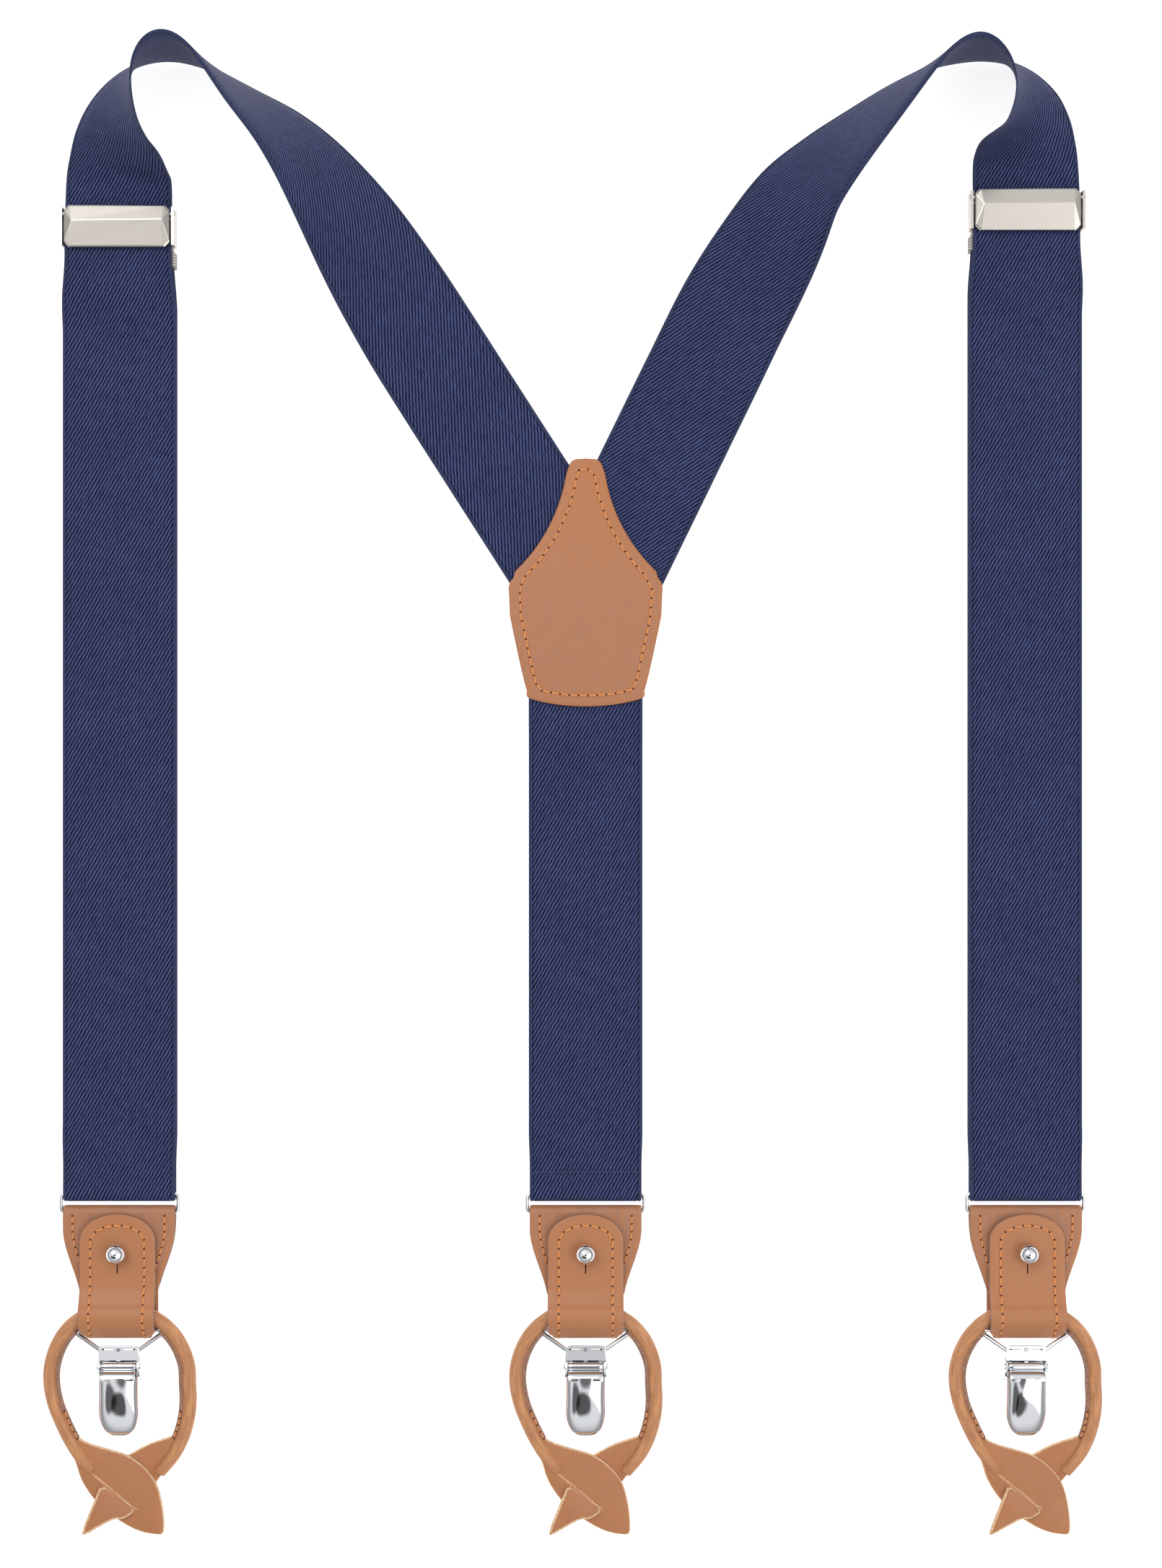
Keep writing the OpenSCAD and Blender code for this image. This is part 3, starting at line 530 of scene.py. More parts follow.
class Nodes:
    """The node tree of a material or world, with one short call for each kind of node."""

    def __init__(self, owner):
        owner.use_nodes = True
        self.tree = owner.node_tree
        self.tree.nodes.clear()

    def plug(self, socket, value):
        if isinstance(value, bpy.types.NodeSocket):
            self.tree.links.new(value, socket)
        else:
            socket.default_value = value

    def node(self, kind, **inputs):
        """A node whose inputs are given by name."""
        node = self.tree.nodes.new("ShaderNode" + kind)
        for name, value in inputs.items():
            self.plug(node.inputs[name.replace("_", " ")], value)
        return node

    def made(self, kind, values, output=0, **settings):
        """An output of a node whose inputs are given in order."""
        node = self.tree.nodes.new("ShaderNode" + kind)
        for name, setting in settings.items():
            setattr(node, name, setting)
        for socket, value in zip(node.inputs, values):
            self.plug(socket, value)
        return node.outputs[output]

    def math(self, operation, *values):
        return self.made("Math", values, operation=operation)

    def between(self, value, low, high, to_low=0.0, to_high=1.0):
        """A value's place between two limits, smooth and clamped."""
        return self.made("MapRange", (value, low, high, to_low, to_high), interpolation_type="SMOOTHSTEP")


class Shader(Nodes):
    """A material with one principled surface."""

    def __init__(self, name, **surface):
        self.material = bpy.data.materials.new(name)
        super().__init__(self.material)
        self.surface = self.node("BsdfPrincipled", **surface)
        self.node("OutputMaterial", Surface=self.surface.outputs[0])

    def set(self, **inputs):
        for name, value in inputs.items():
            self.plug(self.surface.inputs[name.replace("_", " ")], value)

    def cloth(self):
        """Across, along and distance from the edge, in millimetres."""
        node = self.node("Attribute")
        node.attribute_name = "cloth"
        return self.node("SeparateXYZ", Vector=node.outputs["Vector"]).outputs[:3]

    def place(self, scale=1000):
        """The piece's own coordinates, in millimetres."""
        return self.scaled(self.node("TexCoord").outputs["Object"], (scale, scale, scale))

    def scaled(self, vector, scale):
        return self.made("VectorMath", (vector, scale), operation="MULTIPLY")

    def vector(self, x, y, z=0.0):
        return self.node("CombineXYZ", X=x, Y=y, Z=z).outputs[0]

    def wave(self, value, period):
        """A wave from 0 to 1 with that period."""
        turned = self.math("MULTIPLY", value, 2 * math.pi / period)
        return self.math("MULTIPLY_ADD", self.math("COSINE", turned), 0.5, 0.5)

    def noise(self, vector, scale, detail=2.0, roughness=0.5):
        node = self.node("TexNoise", Vector=vector, Scale=scale, Detail=detail, Roughness=roughness)
        return node.outputs["Fac"]

    def mix(self, factor, first, second):
        node = self.node("Mix")
        node.data_type = "RGBA"
        for number, value in zip((0, 6, 7), (factor, first, second)):
            self.plug(node.inputs[number], value)
        return node.outputs[2]

    def shade(self, base, factor):
        """A colour made lighter or darker by a factor."""
        node = self.node("VectorMath")
        node.operation = "SCALE"
        self.plug(node.inputs[0], base[:3] if isinstance(base, tuple) else base)
        self.plug(node.inputs["Scale"], factor)
        return node.outputs[0]

    def bump(self, height, distance, strength=1.0):
        node = self.node("Bump", Height=height, Distance=distance * MM, Strength=strength)
        self.set(Normal=node.outputs[0])


def webbing_material(name, rib, groove, selvedge):
    """Elastic twill: slubby diagonal ribs over fine warp lines, a groove darkened with painted shade and a
    smooth selvedge.
    """
    s = Shader(name, Specular_IOR_Level=0.2, Sheen_Weight=0.08, Sheen_Roughness=0.45)
    u, v, edge = s.cloth()
    plane = s.vector(u, v)
    wobble = s.math("SUBTRACT", s.noise(plane, 0.45, 3), 0.5)
    across_rib = s.math("MULTIPLY_ADD", v, -0.5, s.math("MULTIPLY", u, 0.866))
    along_rib = s.math("MULTIPLY_ADD", v, 0.866, s.math("MULTIPLY", u, 0.5))
    wandering = s.math("MULTIPLY_ADD", wobble, 0.32, across_rib)
    ribs = s.wave(wandering, 0.96)
    warps = s.wave(u, 1.09)
    slub_plane = s.vector(s.math("MULTIPLY", across_rib, 1.6), s.math("MULTIPLY", along_rib, 0.3))
    slub = s.noise(slub_plane, 1.0, 2)
    slub_height = s.math("MULTIPLY", s.math("SUBTRACT", slub, 0.5), 0.6)
    height = s.math("MULTIPLY_ADD", warps, 0.14, s.math("MULTIPLY_ADD", ribs, 0.7, slub_height))
    field = s.mix(s.between(height, 0.08, 0.84), groove, rib)
    cross_threads = s.wave(v, 0.85)
    border = s.mix(s.math("MULTIPLY", cross_threads, 0.5), selvedge, groove)
    in_border = s.between(edge, 1.15, 0.8)
    # Painted shade: the colour is darkened by up to 40 percent along the groove inside the selvedge.
    groove_shade = s.math("MULTIPLY", s.between(edge, 0.85, 1.15), s.between(edge, 1.6, 1.2))
    mottle = s.between(s.noise(plane, 0.06, 3), 0.3, 0.7, 0.93, 1.07)
    dark = s.math("MULTIPLY_ADD", groove_shade, -0.4, 1.0)
    s.set(Base_Color=s.shade(s.mix(in_border, field, border), s.math("MULTIPLY", mottle, dark)))
    s.set(Roughness=s.between(height, 0.0, 1.0, 0.9, 0.72))
    relief = s.mix(in_border, height, s.math("MULTIPLY", cross_threads, 0.35))
    s.bump(relief, 0.09, 0.8)
    return s.material


def leather_material(name, base, deep, warm, rolled=False, warm_from=None):
    """Smooth dyed leather: fine pores and soft mottling, more orange where the edges are burnished, and
    paler streaks along its length that on rolled leather are partly painted highlight.
    """
    s = Shader(name, Specular_IOR_Level=0.4, Coat_Weight=0.06, Coat_Roughness=0.35)
    u, v, edge = s.cloth()
    plane = s.vector(u, v, edge)
    grain = s.noise(plane, 2.6, 5, 0.6)
    mottle = s.between(s.noise(plane, 0.16, 4, 0.6), 0.3, 0.7)
    streak_u = s.math("MULTIPLY", u, 2.2 if rolled else 1.1)
    streaks_and_highlights = s.noise(s.vector(streak_u, s.math("MULTIPLY", v, 0.22)), 0.6, 3)
    worn = s.between(s.math("MULTIPLY_ADD", grain, 0.9, edge), 2.6, 0.7)
    tone = s.mix(s.math("MULTIPLY", mottle, 0.55), base, deep)
    # Paler warm streaks along the length: tone, and on the rolled leather also painted orange highlight.
    tone = s.mix(s.math("MULTIPLY", s.between(streaks_and_highlights, 0.42, 0.68), 0.5), tone, warm)
    if not rolled:
        tone = s.mix(s.math("MULTIPLY", worn, 0.55), tone, warm)
    if warm_from:
        tone = s.mix(s.between(v, warm_from, warm_from + 45, 0, 0.75), tone, warm)
    pores = s.between(s.noise(plane, 5.5, 2), 0.34, 0.44)
    depth = s.math("MULTIPLY", s.between(pores, 0, 1, 0.9, 1), s.between(grain, 0.3, 0.7, 0.95, 1.05))
    s.set(Base_Color=s.shade(tone, depth))
    s.set(Roughness=s.between(grain, 0.3, 0.7, 0.4, 0.56))
    s.bump(s.math("MULTIPLY_ADD", pores, 0.4, grain), 0.06, 0.55)
    return s.material


def cut_edge_material(name, pale, dark):
    """The raw, fibrous edge of cut leather."""
    s = Shader(name, Specular_IOR_Level=0.15, Sheen_Weight=0.15)
    fibres = s.noise(s.place(), 1.9, 6, 0.7)
    s.set(Base_Color=s.mix(s.between(fibres, 0.34, 0.66), dark, pale))
    s.set(Roughness=s.between(fibres, 0.2, 0.8, 0.95, 0.8))
    s.bump(fibres, 0.25, 0.9)
    return s.material


def thread_material(name, light, dark):
    """Twisted sewing thread."""
    s = Shader(name, Specular_IOR_Level=0.35, Sheen_Weight=0.1)
    u, v, _ = s.cloth()
    twist = s.wave(s.math("ADD", u, v), 0.42)
    s.set(Base_Color=s.mix(twist, dark, light), Roughness=s.between(twist, 0, 1, 0.75, 0.5))
    s.bump(twist, 0.05, 0.6)
    return s.material


def metal_material(name, tint, low, high, brushed, dents):
    """Plated metal: fine handling marks in its gloss, and slight waviness."""
    s = Shader(name, Metallic=1.0)
    place = s.scaled(s.place(), brushed)
    marks = s.noise(place, 1.2, 5, 0.65)
    s.set(Base_Color=s.shade(tint, s.between(marks, 0.3, 0.7, 0.97, 1.0)))
    s.set(Roughness=s.between(marks, 0.35, 0.75, low, high))
    s.bump(s.noise(s.place(), 0.35, 2), dents, 0.5)
    return s.material


def plain_material(name, first, second, roughness, scale):
    """Moulded plastic or cord with a slight speckle."""
    s = Shader(name)
    speckle = s.noise(s.place(), scale, 4)
    s.set(Base_Color=s.mix(speckle, first, second))
    s.set(Roughness=s.between(speckle, 0.3, 0.7, roughness, roughness + 0.12))
    s.bump(speckle, 0.05, 0.5)
    return s.material


def make_materials():
    rib, groove = colour(70, 80, 126), colour(10, 14, 42)
    tan = colour(174, 122, 92)
    return {
        "webbing": webbing_material("navy_twill", rib, groove, colour(56, 64, 98)),
        "sewn": webbing_material("sewn_webbing", rib, groove, colour(214, 206, 200)),
        "leather": leather_material("tan_leather", tan, colour(160, 112, 88), colour(186, 120, 72)),
        "patch": leather_material(
            "patch_leather", tan, colour(166, 118, 94), colour(184, 118, 72), warm_from=50
        ),
        # The rolled leather's pale warm colour, laid on in streaks, is partly painted highlight.
        "rolled": leather_material(
            "rolled_leather", colour(192, 134, 92), colour(164, 108, 76), colour(226, 162, 104), rolled=True
        ),
        "cut": cut_edge_material("cut_leather", colour(244, 212, 176), colour(206, 158, 114)),
        "suede": cut_edge_material("suede", colour(180, 142, 122), colour(128, 94, 80)),
        "thread": thread_material("orange_thread", colour(248, 172, 104), colour(206, 120, 62)),
        "navy_thread": thread_material("navy_thread", colour(60, 68, 108), colour(22, 26, 60)),
        # Needle holes: a dark colour that paints the shade inside each hole.
        "hole": plain_material("needle_hole_shade", colour(96, 46, 22), colour(66, 30, 14), 0.8, 3),
        "nickel": metal_material("satin_nickel", colour(210, 204, 196), 0.3, 0.36, (0.2, 3, 1), 0.003),
        "chrome": metal_material("chrome", colour(226, 228, 232), 0.05, 0.12, (1, 1, 1), 0.012),
        "steel": metal_material("spring_steel", colour(186, 188, 194), 0.2, 0.35, (3, 0.3, 1), 0.01),
        "slot": plain_material("slot_shadow", colour(62, 62, 66), colour(40, 40, 44), 0.6, 2),
        "pad": plain_material("jaw_pad", colour(214, 214, 210), colour(186, 186, 182), 0.5, 2),
    }


LOOK = make_materials()


# ---- Webbing ----


def strap_half(y, adjuster_y):
    """Half of the strap's width, which narrows where it enters the adjuster and the fold."""
    half = STRAP_W / 2
    half -= (STRAP_W - IN_ADJUSTER_W) / 2 * smooth((y - adjuster_y + 26) / 18)
    return half - (STRAP_W - IN_FOLD_W) / 2 * smooth((FOLD_END_Y + 12 - y) / 12)


def ring_fold():
    """Rear tail and fold of a strap round the ring's upper bar, leading up to the front."""
    radius = FOLD_BORE + STRAP_T / 2
    low = RING_Z - radius
    return [(FOLD_END_Y, low), (RING_Y, low)] + arc((RING_Y, RING_Z), radius, 270, 90, 16)[1:]


def webbing(name, stations, look="webbing"):
    return strip(name, stations, STRAP_T, webbing_section, [LOOK[look]])


def front_webbing(side):
    x, top = END_X[side], ADJUSTER_Y[side]
    line = ring_fold() + [
        (FOLD_END_Y + 4, FRONT_FOLD_Z - 0.3), (FOLD_END_Y + 14, FRONT_WEB_Z), (top - 30, FRONT_WEB_Z),
        (top - 20, OVER_SEWN_Z - 0.3), (top - 14, OVER_SEWN_Z), (top - 2.4, OVER_SEWN_Z),
        (top + 1.2, IN_ADJUSTER_Z + 0.15), (top + 2.5, IN_ADJUSTER_Z),
    ]
    stations = line_stations(x, fine_line(line, 1.2), lambda y, s: strap_half(y, top))
    obj = webbing(f"{side}_webbing_front", stations)
    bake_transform(obj)
    finished(obj, None, "webbing", f"{side}_front_run", f"{side}_strap_fold")
    return stations[-1][4]


def shoulder_webbing(side, start):
    rows = LEFT_LOOP if side == "left" else RIGHT_LOOP
    x, top = -abs(END_X[side]), ADJUSTER_Y[side]
    lead = [(x - IN_ADJUSTER_W / 2, top + 2.5, IN_ADJUSTER_Z, 0, IN_ADJUSTER_W)]
    stations = loop_stations(lead + rows, side == "right", start)
    obj = webbing(f"{side}_webbing_shoulder", stations)
    outwards = SIDES[side]
    keep_side(obj, (BACK_X + outwards * 0.05, 0, 0), (outwards, 0, 0))
    keep_side(obj, (0, STRAP_MEET_Y, 0), (0, 1, 0))
    finished(obj, "root", "webbing", f"{side}_shoulder_strap")


def rear_webbing(side):
    x, top = END_X[side], ADJUSTER_Y[side] - 12.0
    z = STRAP_T / 2
    line = fine_line([(FOLD_END_Y + 0.1, z), (top, z)], 2.5)
    stations = line_stations(x, line, lambda y, s: strap_half(y, ADJUSTER_Y[side]))
    obj = webbing(f"{side}_webbing_rear", stations)
    finished(obj, f"{side}_end", "webbing", f"{side}_rear_run")
    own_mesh(obj)


def sewn_webbing(side):
    """The webbing turned round the adjuster's lower bar and sewn down, its pale inner edge just showing."""
    x, bar_y = END_X[side], ADJUSTER_Y[side] - 2.3
    bar_z, radius = 2.0, 0.7 + STRAP_T / 2
    low_y = bar_y - 9.6
    turn = arc((bar_y, bar_z), radius, -90, 90, 14)
    line = [(low_y, bar_z - radius)] + turn + [(low_y + 0.4, bar_z + radius)]
    inner = -SIDES[side]

    def below_frame(y):
        return smooth((ADJUSTER_Y[side] - 6.2 - y) / 1.4)

    def shift(y):
        return inner * 0.45 * below_frame(y)

    def half(y, s):
        return IN_ADJUSTER_W / 2 + 0.5 * below_frame(y)

    stations = line_stations(x, fine_line(line, 0.5), half, shift)
    obj = webbing(f"{side}_webbing_sewn", stations, "sewn")
    finished(obj, f"{side}_adjuster", "raw_webbing", f"{side}_sewn_end")


def back_webbing():
    rear_z, in_patch = STRAP_T / 2, PATCH_T + 0.05 + STRAP_T / 2
    line = ring_fold() + [
        (FOLD_END_Y + 3, FRONT_FOLD_Z - 0.5), (FOLD_END_Y + 14, rear_z), (13, rear_z), (25, in_patch),
        (STRAP_MEET_Y - 0.1, in_patch),
    ]
    stations = line_stations(BACK_X, fine_line(line, 1.2), lambda y, s: strap_half(y, 200))
    obj = webbing("back_webbing", stations)
    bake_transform(obj)
    finished(obj, None, "webbing", "back_strap", "back_strap_fold")
    z = FRONT_FOLD_Z - 0.1 + STRAP_T / 2
    hem = [Vector((BACK_X + x, FOLD_END_Y - 0.9, z)) for x in range(-15, 16)]
    row = stitches("back_hem_stitches", hem, thread="navy_thread", hole="navy_thread", pitch=2.2)
    finished(row, "back_end", "webbing")


# ---- Stitching ----


def stitches(
    name, path, normals=UP, thread="thread", hole="hole", pitch=STITCH_PITCH, radius=0.29, closed=False
):
    """A row of thread stitches along a path, with one normal for it all or one for each of its points, and a
    flat disc of painted shade at each needle hole.
    """
    chance = random.Random(name)
    spots = even_points(path, pitch, closed)
    if not isinstance(normals, list):
        normals = [normals] * len(path)
    ups = []
    for p in spots:
        nearest = min(range(len(path)), key=lambda i: (Vector(path[i]) - p).length_squared)
        ups.append(Vector(normals[nearest]))
    points, faces, cloth, kinds = [], [], [], []
    sides, rings = 6, 7
    for a, b, up_a, up_b in zip(spots, spots[1:], ups, ups[1:]):
        along = b - a
        up = (up_a + up_b).normalized()
        side = along.cross(up).normalized()
        slant = side * chance.uniform(0.02, 0.2)
        first = len(points)
        for i in range(rings):
            t = lerp(0.1, 0.9, i / (rings - 1))
            height = 0.27 * math.sin(math.pi * t) ** 0.6 - 0.12
            middle_point = a + along * t + up * height + slant * (t - 0.5) * 2
            size = radius * (0.75 + 0.35 * math.sin(math.pi * t))
            for k in range(sides):
                turn = 2 * math.pi * k / sides
                points.append(middle_point + (side * math.cos(turn) + up * math.sin(turn)) * size)
                cloth.append((turn * 0.2, t * pitch, 1))
        for i in range(rings - 1):
            for k in range(sides):
                n = (k + 1) % sides
                row, nxt = first + i * sides, first + (i + 1) * sides
                faces.append((row + k, nxt + k, nxt + n, row + n))
                kinds.append(0)
    # Each needle hole is a flat dark disc of painted shade, laid just above the surface.
    for p, up in zip(spots, ups):
        heading = up.orthogonal().normalized()
        other = up.cross(heading)
        first = len(points)
        for k in range(8):
            turn = math.pi / 4 * k
            points.append(p + (heading * math.cos(turn) + other * math.sin(turn)) * 0.36 + up * 0.03)
            cloth.append((0, 0, 1))
        faces.append(tuple(first + k for k in range(8)))
        kinds.append(1)
    return make_mesh(name, points, faces, cloth, [LOOK[thread], LOOK[hole]], kinds, sharp=80)


# ---- Patch ----


def patch_outline():
    side = (
        [(0, 101.6)]
        + arc((2.2, 98.5), 3, 80, 10, 10)
        + bezier((5.9, 97), (8.7, 79.8), (21.4, 67.4), 30)
        + arc((18.9, 62.2), 4.4, 47, -10, 10)
        + bezier((22.9, 54), (19.4, 36.6), (17.8, 31.4), 20)
        + arc((16.4, 30.4), 1.5, -5, -70, 6)
        + bezier((15, 28.4), (8, 26.6), (0, 26.6), 14)
    )
    whole = side + mirrored(side)[1:-1]
    return [(BACK_X + x, y) for x, y in reversed(whole)]


def patch():
    outline = patch_outline()
    front_low = PATCH_T + STRAP_T + 0.1
    for name, low in (("y_patch_front", front_low), ("y_patch_back", 0.0)):
        top = low + PATCH_T
        dome = 0.12 if low else 0.0
        obj = plate(name + "_leather", outline, low, top, [LOOK["patch"]], edge=0.5, dome=dome)
        finished(obj, "root", "leather", name)
    seam = offset_inside(outline, SEAM_INSET)
    for face, z, up in (("front", front_low + PATCH_T + 0.1, 1), ("back", 0.02, -1)):
        path = [(x, y, z) for x, y in seam]
        row = stitches(f"patch_stitches_{face}", path, (0, 0, up), closed=True)
        finished(row, "root", "leather")


# ---- Adjusters ----


def adjuster(side):
    """The cover is a sheet pressed into two facets with hipped ends, between the frame's two walls."""
    x, y = END_X[side], ADJUSTER_Y[side]
    half, low, high = 16.0, -6.3, 6.3
    corner = 1.6
    ridge_y, ridge_z, rim_z = 1.6, 8.85, 7.5
    outline = [
        (-half, low + corner), (-half + corner, low), (half - corner, low), (half, low + corner),
        (half, high - corner), (half - corner, high), (-half + corner, high), (-half, high - corner),
    ]
    inner = [(px * 0.982, py * 0.95) for px, py in outline]
    points = [(px, py, 6.75) for px, py in outline] + [(px, py, rim_z - 0.25) for px, py in outline]
    points += [(px, py, rim_z) for px, py in inner]
    points += [(-half + 2.6, ridge_y - 0.15, ridge_z), (half - 2.2, ridge_y + 0.15, ridge_z)]
    faces = [tuple(reversed(range(8)))]
    for ring in (0, 8):
        faces += [(ring + j, ring + (j + 1) % 8, ring + 8 + (j + 1) % 8, ring + 8 + j) for j in range(8)]
    left, right, top = 24, 25, 16
    faces += [
        (top + 1, top + 2, right, left), (top + 5, top + 6, left, right), (top + 2, top + 3, right),
        (top + 3, top + 4, right), (top + 4, top + 5, right), (top + 6, top + 7, left), (top + 7, top, left),
        (top, top + 1, left),
    ]
    placed = [(x + px, y + py, z) for px, py, z in points]
    obj = make_mesh(f"{side}_adjuster_cover_plate", placed, faces, placed, [LOOK["nickel"]])
    soften = obj.modifiers.new("soften", "BEVEL")
    soften.width = 0.14 * MM
    soften.segments = 1
    soften.limit_method = "ANGLE"
    soften.angle_limit = math.radians(6)
    apply_modifiers(obj)
    faceted(obj)
    finished(obj, f"{side}_adjuster_cover", "nickel", f"{side}_adjuster_lever")


# ---- Leather ends ----


def leather(name, stations, thick):
    return strip(name, stations, thick, leather_section, [LOOK["leather"], LOOK["suede"]], rim=True)


def tab_side(y):
    """Half of the tab's width."""
    return 11.4 + (16.9 - 11.4) * smooth((y - CHANNEL_Y - 3) / (RING_LOW_Y - 4.7 - CHANNEL_Y - 3))


def tab(end):
    """One leather: from the front leaf's end up round the ring, down behind, and round the channel."""
    x = END_X[end]
    fold_r = FOLD_BORE + LEATHER_T / 2
    front_z, back_z = 3.45, 2.15
    tube_r = CHANNEL_OUT - CHANNEL_WALL / 2
    line = (
        [(CHANNEL_Y + 6.2, front_z), (RING_LOW_Y - 6, front_z)]
        + arc((RING_LOW_Y, RING_Z), fold_r, 96, -90, 14)
        + [(RING_LOW_Y - 2.4, 0.85), (RING_LOW_Y - 6.6, back_z), (CHANNEL_Y + 4, back_z - 0.05)]
        + arc((CHANNEL_Y, CHANNEL_Z), tube_r, -90, -322, 24)[1:]
        + [(CHANNEL_Y + 5.2, front_z + 0.25)]
    )
    even = list(reversed(fine_line(line, 0.6)))
    along = lengths(even)
    tube_end = next(s for (py, pz), s in zip(even, along) if py > CHANNEL_Y + 3.6 and pz < back_z + 0.2)

    def half(y, s):
        narrow = smooth((s - tube_end - 1.5) / 4)
        return lerp(8.5, tab_side(y), narrow)

    stations = line_stations(x, even, half)
    obj = leather(f"{end}_tab_leather", stations, LEATHER_T)
    finished(obj, f"{end}_leather_tab", "leather", f"{end}_tab")
    parts = []
    for sign in (-1, 1):
        ys = [RING_LOW_Y - 0.9 - 0.8 * i for i in range(30)]
        zs = [front_z + LEATHER_T / 2 + 0.1 * smooth((y + 132) / 5) for y in ys]
        path = [(x + sign * (tab_side(y) - 3.0), y, z) for y, z in zip(ys, zs)]
        parts.append(stitches(f"{end}_tab_row_{sign}", path, pitch=2.5))
    finished(join(f"{end}_tab_stitches", parts), f"{end}_leather_tab", "leather")


def flap_line():
    """Clip strap from its rear end down round the bail and up over the channel to the flap's arched top."""
    over_r = CHANNEL_OUT + 0.9
    return (
        [(-133.0, FLAP_T / 2), (BAIL_Y, FLAP_T / 2)]
        + arc((BAIL_Y, BAIL_Z), 1.8, 270, 180, 8)[1:]
        + curve([(-163.7, 2.6), (-163.3, 4.3), (-162.3, 5.9), (-160.65, 7.18)], 4)[1:-1]
        + arc((CHANNEL_Y, CHANNEL_Z), over_r, 148, 42, 14)
        + [(CHANNEL_Y + 7.5, 5.95), (CHANNEL_Y + 12, FLAP_Z), (FLAP_TOP_Y - FLAP_ARCH, FLAP_Z)]
    )


def flap(end):
    x = END_X[end]
    straight = fine_line(flap_line(), 0.7)
    arch_y = FLAP_TOP_Y - FLAP_ARCH
    turn = [math.radians(a) for a in range(5, 88, 4)]
    arch = [(arch_y + FLAP_ARCH * math.sin(a), FLAP_Z) for a in turn]
    line = straight + arch

    def half(y, s):
        if y <= arch_y or s < 30:
            return FLAP_HALF_W - 1.6 * smooth((-161.6 - y) / 1.4)
        return FLAP_HALF_W * math.sqrt(max(1 - ((y - arch_y) / FLAP_ARCH) ** 2, 0.0004))

    stations = line_stations(x, line, half)
    obj = leather(f"{end}_clip_strap_leather", stations, FLAP_T)
    low, high = 3.4, 9
    profile = [(0.001, low), (2.0, low), (2.0, high), (0.001, high)]
    hole = lathe("hole", profile, (x, STUD_Y), LOOK["suede"])
    outline = rectangle(x - 0.2, x + 0.2, STUD_Y - 6.3, STUD_Y)
    cut_out(obj, hole, plate("slit", outline, low, high, [LOOK["suede"]], edge=0.01))
    tab_body, flap_body = f"{end}_leather_tab", f"{end}_flap_leg"
    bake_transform(obj)
    finished(obj, None, "leather", f"{end}_clip_strap", f"{end}_flap")
    seam_half, seam_arch, seam_z = FLAP_HALF_W - SEAM_INSET, FLAP_ARCH - SEAM_INSET, FLAP_Z + FLAP_T / 2
    rising = [st for st in stations[:len(straight)] if st[0].z > 3.2 and st[4] > 20]
    path = [st[0] + st[1] * seam_half + st[2] * (FLAP_T / 2) for st in rising]
    for a in (math.radians(degrees) for degrees in range(6, 175, 6)):
        path.append(Vector((x + seam_half * math.cos(a), arch_y + seam_arch * math.sin(a), seam_z)))
    up = [st[2] for st in rising] + [Vector(UP)] * (len(path) - len(rising))
    path += [st[0] - st[1] * seam_half + st[2] * (FLAP_T / 2) for st in reversed(rising)]
    up += [st[2] for st in reversed(rising)]
    finished(stitches(f"{end}_flap_stitches", path, up), flap_body, "leather")


def ring(end):
    x = END_X[end]
    corner = 1.2
    centres = [(1, 1, 0), (-1, 1, 90), (-1, -1, 180), (1, -1, 270)]
    path = []
    for sx, sy, start in centres:
        y = RING_Y - corner if sy > 0 else RING_LOW_Y + corner
        centre = (x + sx * (RING_HALF_W - corner), y)
        path += [(px, py, RING_Z) for px, py in arc(centre, corner, start, start + 90, 8)]
    obj = tube(f"{end}_ring_wire", path, RING_R, LOOK["chrome"], closed=True)
    finished(obj, f"{end}_ring_link", "chrome", f"{end}_ring")


def bail(end):
    """Wire bail: a top bar in the strap's fold, slanting sides, and a lower bar in the clip's knuckle."""
    x = END_X[end]
    top_half, bend, slope, drop = 12.7, 0.9, 35, 6.1
    slant = (drop - 2 * bend) / math.sin(math.radians(slope))
    top_c = (top_half - bend, BAIL_Y - bend)
    across, down = slant * math.cos(math.radians(slope)), slant * math.sin(math.radians(slope))
    low_c = (top_c[0] - across, top_c[1] - down)
    side = arc(top_c, bend, 90, slope - 90, 10) + arc(low_c, bend, slope - 90, -90, 5)
    whole = side + mirrored(side)
    path = [(x + px, py, BAIL_Z) for px, py in whole]
    obj = tube(f"{end}_bail_wire", path, BAIL_R, LOOK["chrome"], sides=16, closed=True)
    finished(obj, f"{end}_bail_link", "chrome", f"{end}_bail")


# ---- Button loop ----


def roll(name, x, side, end_rows, skin):
    """Rolled leather from the channel to where it has opened out, and the path of its centre line."""
    rows = curve([(side * px, py, pz, r) for px, py, pz, r in ROLL_START] + end_rows, 5)
    path = [(x + px, py, pz) for px, py, pz, r in rows]
    return tube(name, path, [r for _, _, _, r in rows], skin, sides=28), path


def seam_flange(name, path, side):
    """The roll's rough glued edge along the inside of the loop, with a few stitches near the flat end."""
    out = []
    for p, heading in zip(path, tangents(path)):
        if -196 < p[1] < -160:
            inner = heading.cross(Vector(UP)).normalized() * side
            out.append(Vector(p) + inner * (ROLL_START[0][3] + 0.25) + Vector((0, 0, 0.5)))
    obj = tube(name, out, 0.72, LOOK["suede"], sides=8)
    low = [p + Vector((0, 0, 0.7)) for p in out if p.y < -186]
    return obj, stitches(name + "_stitches", low, pitch=2.2, radius=0.2)


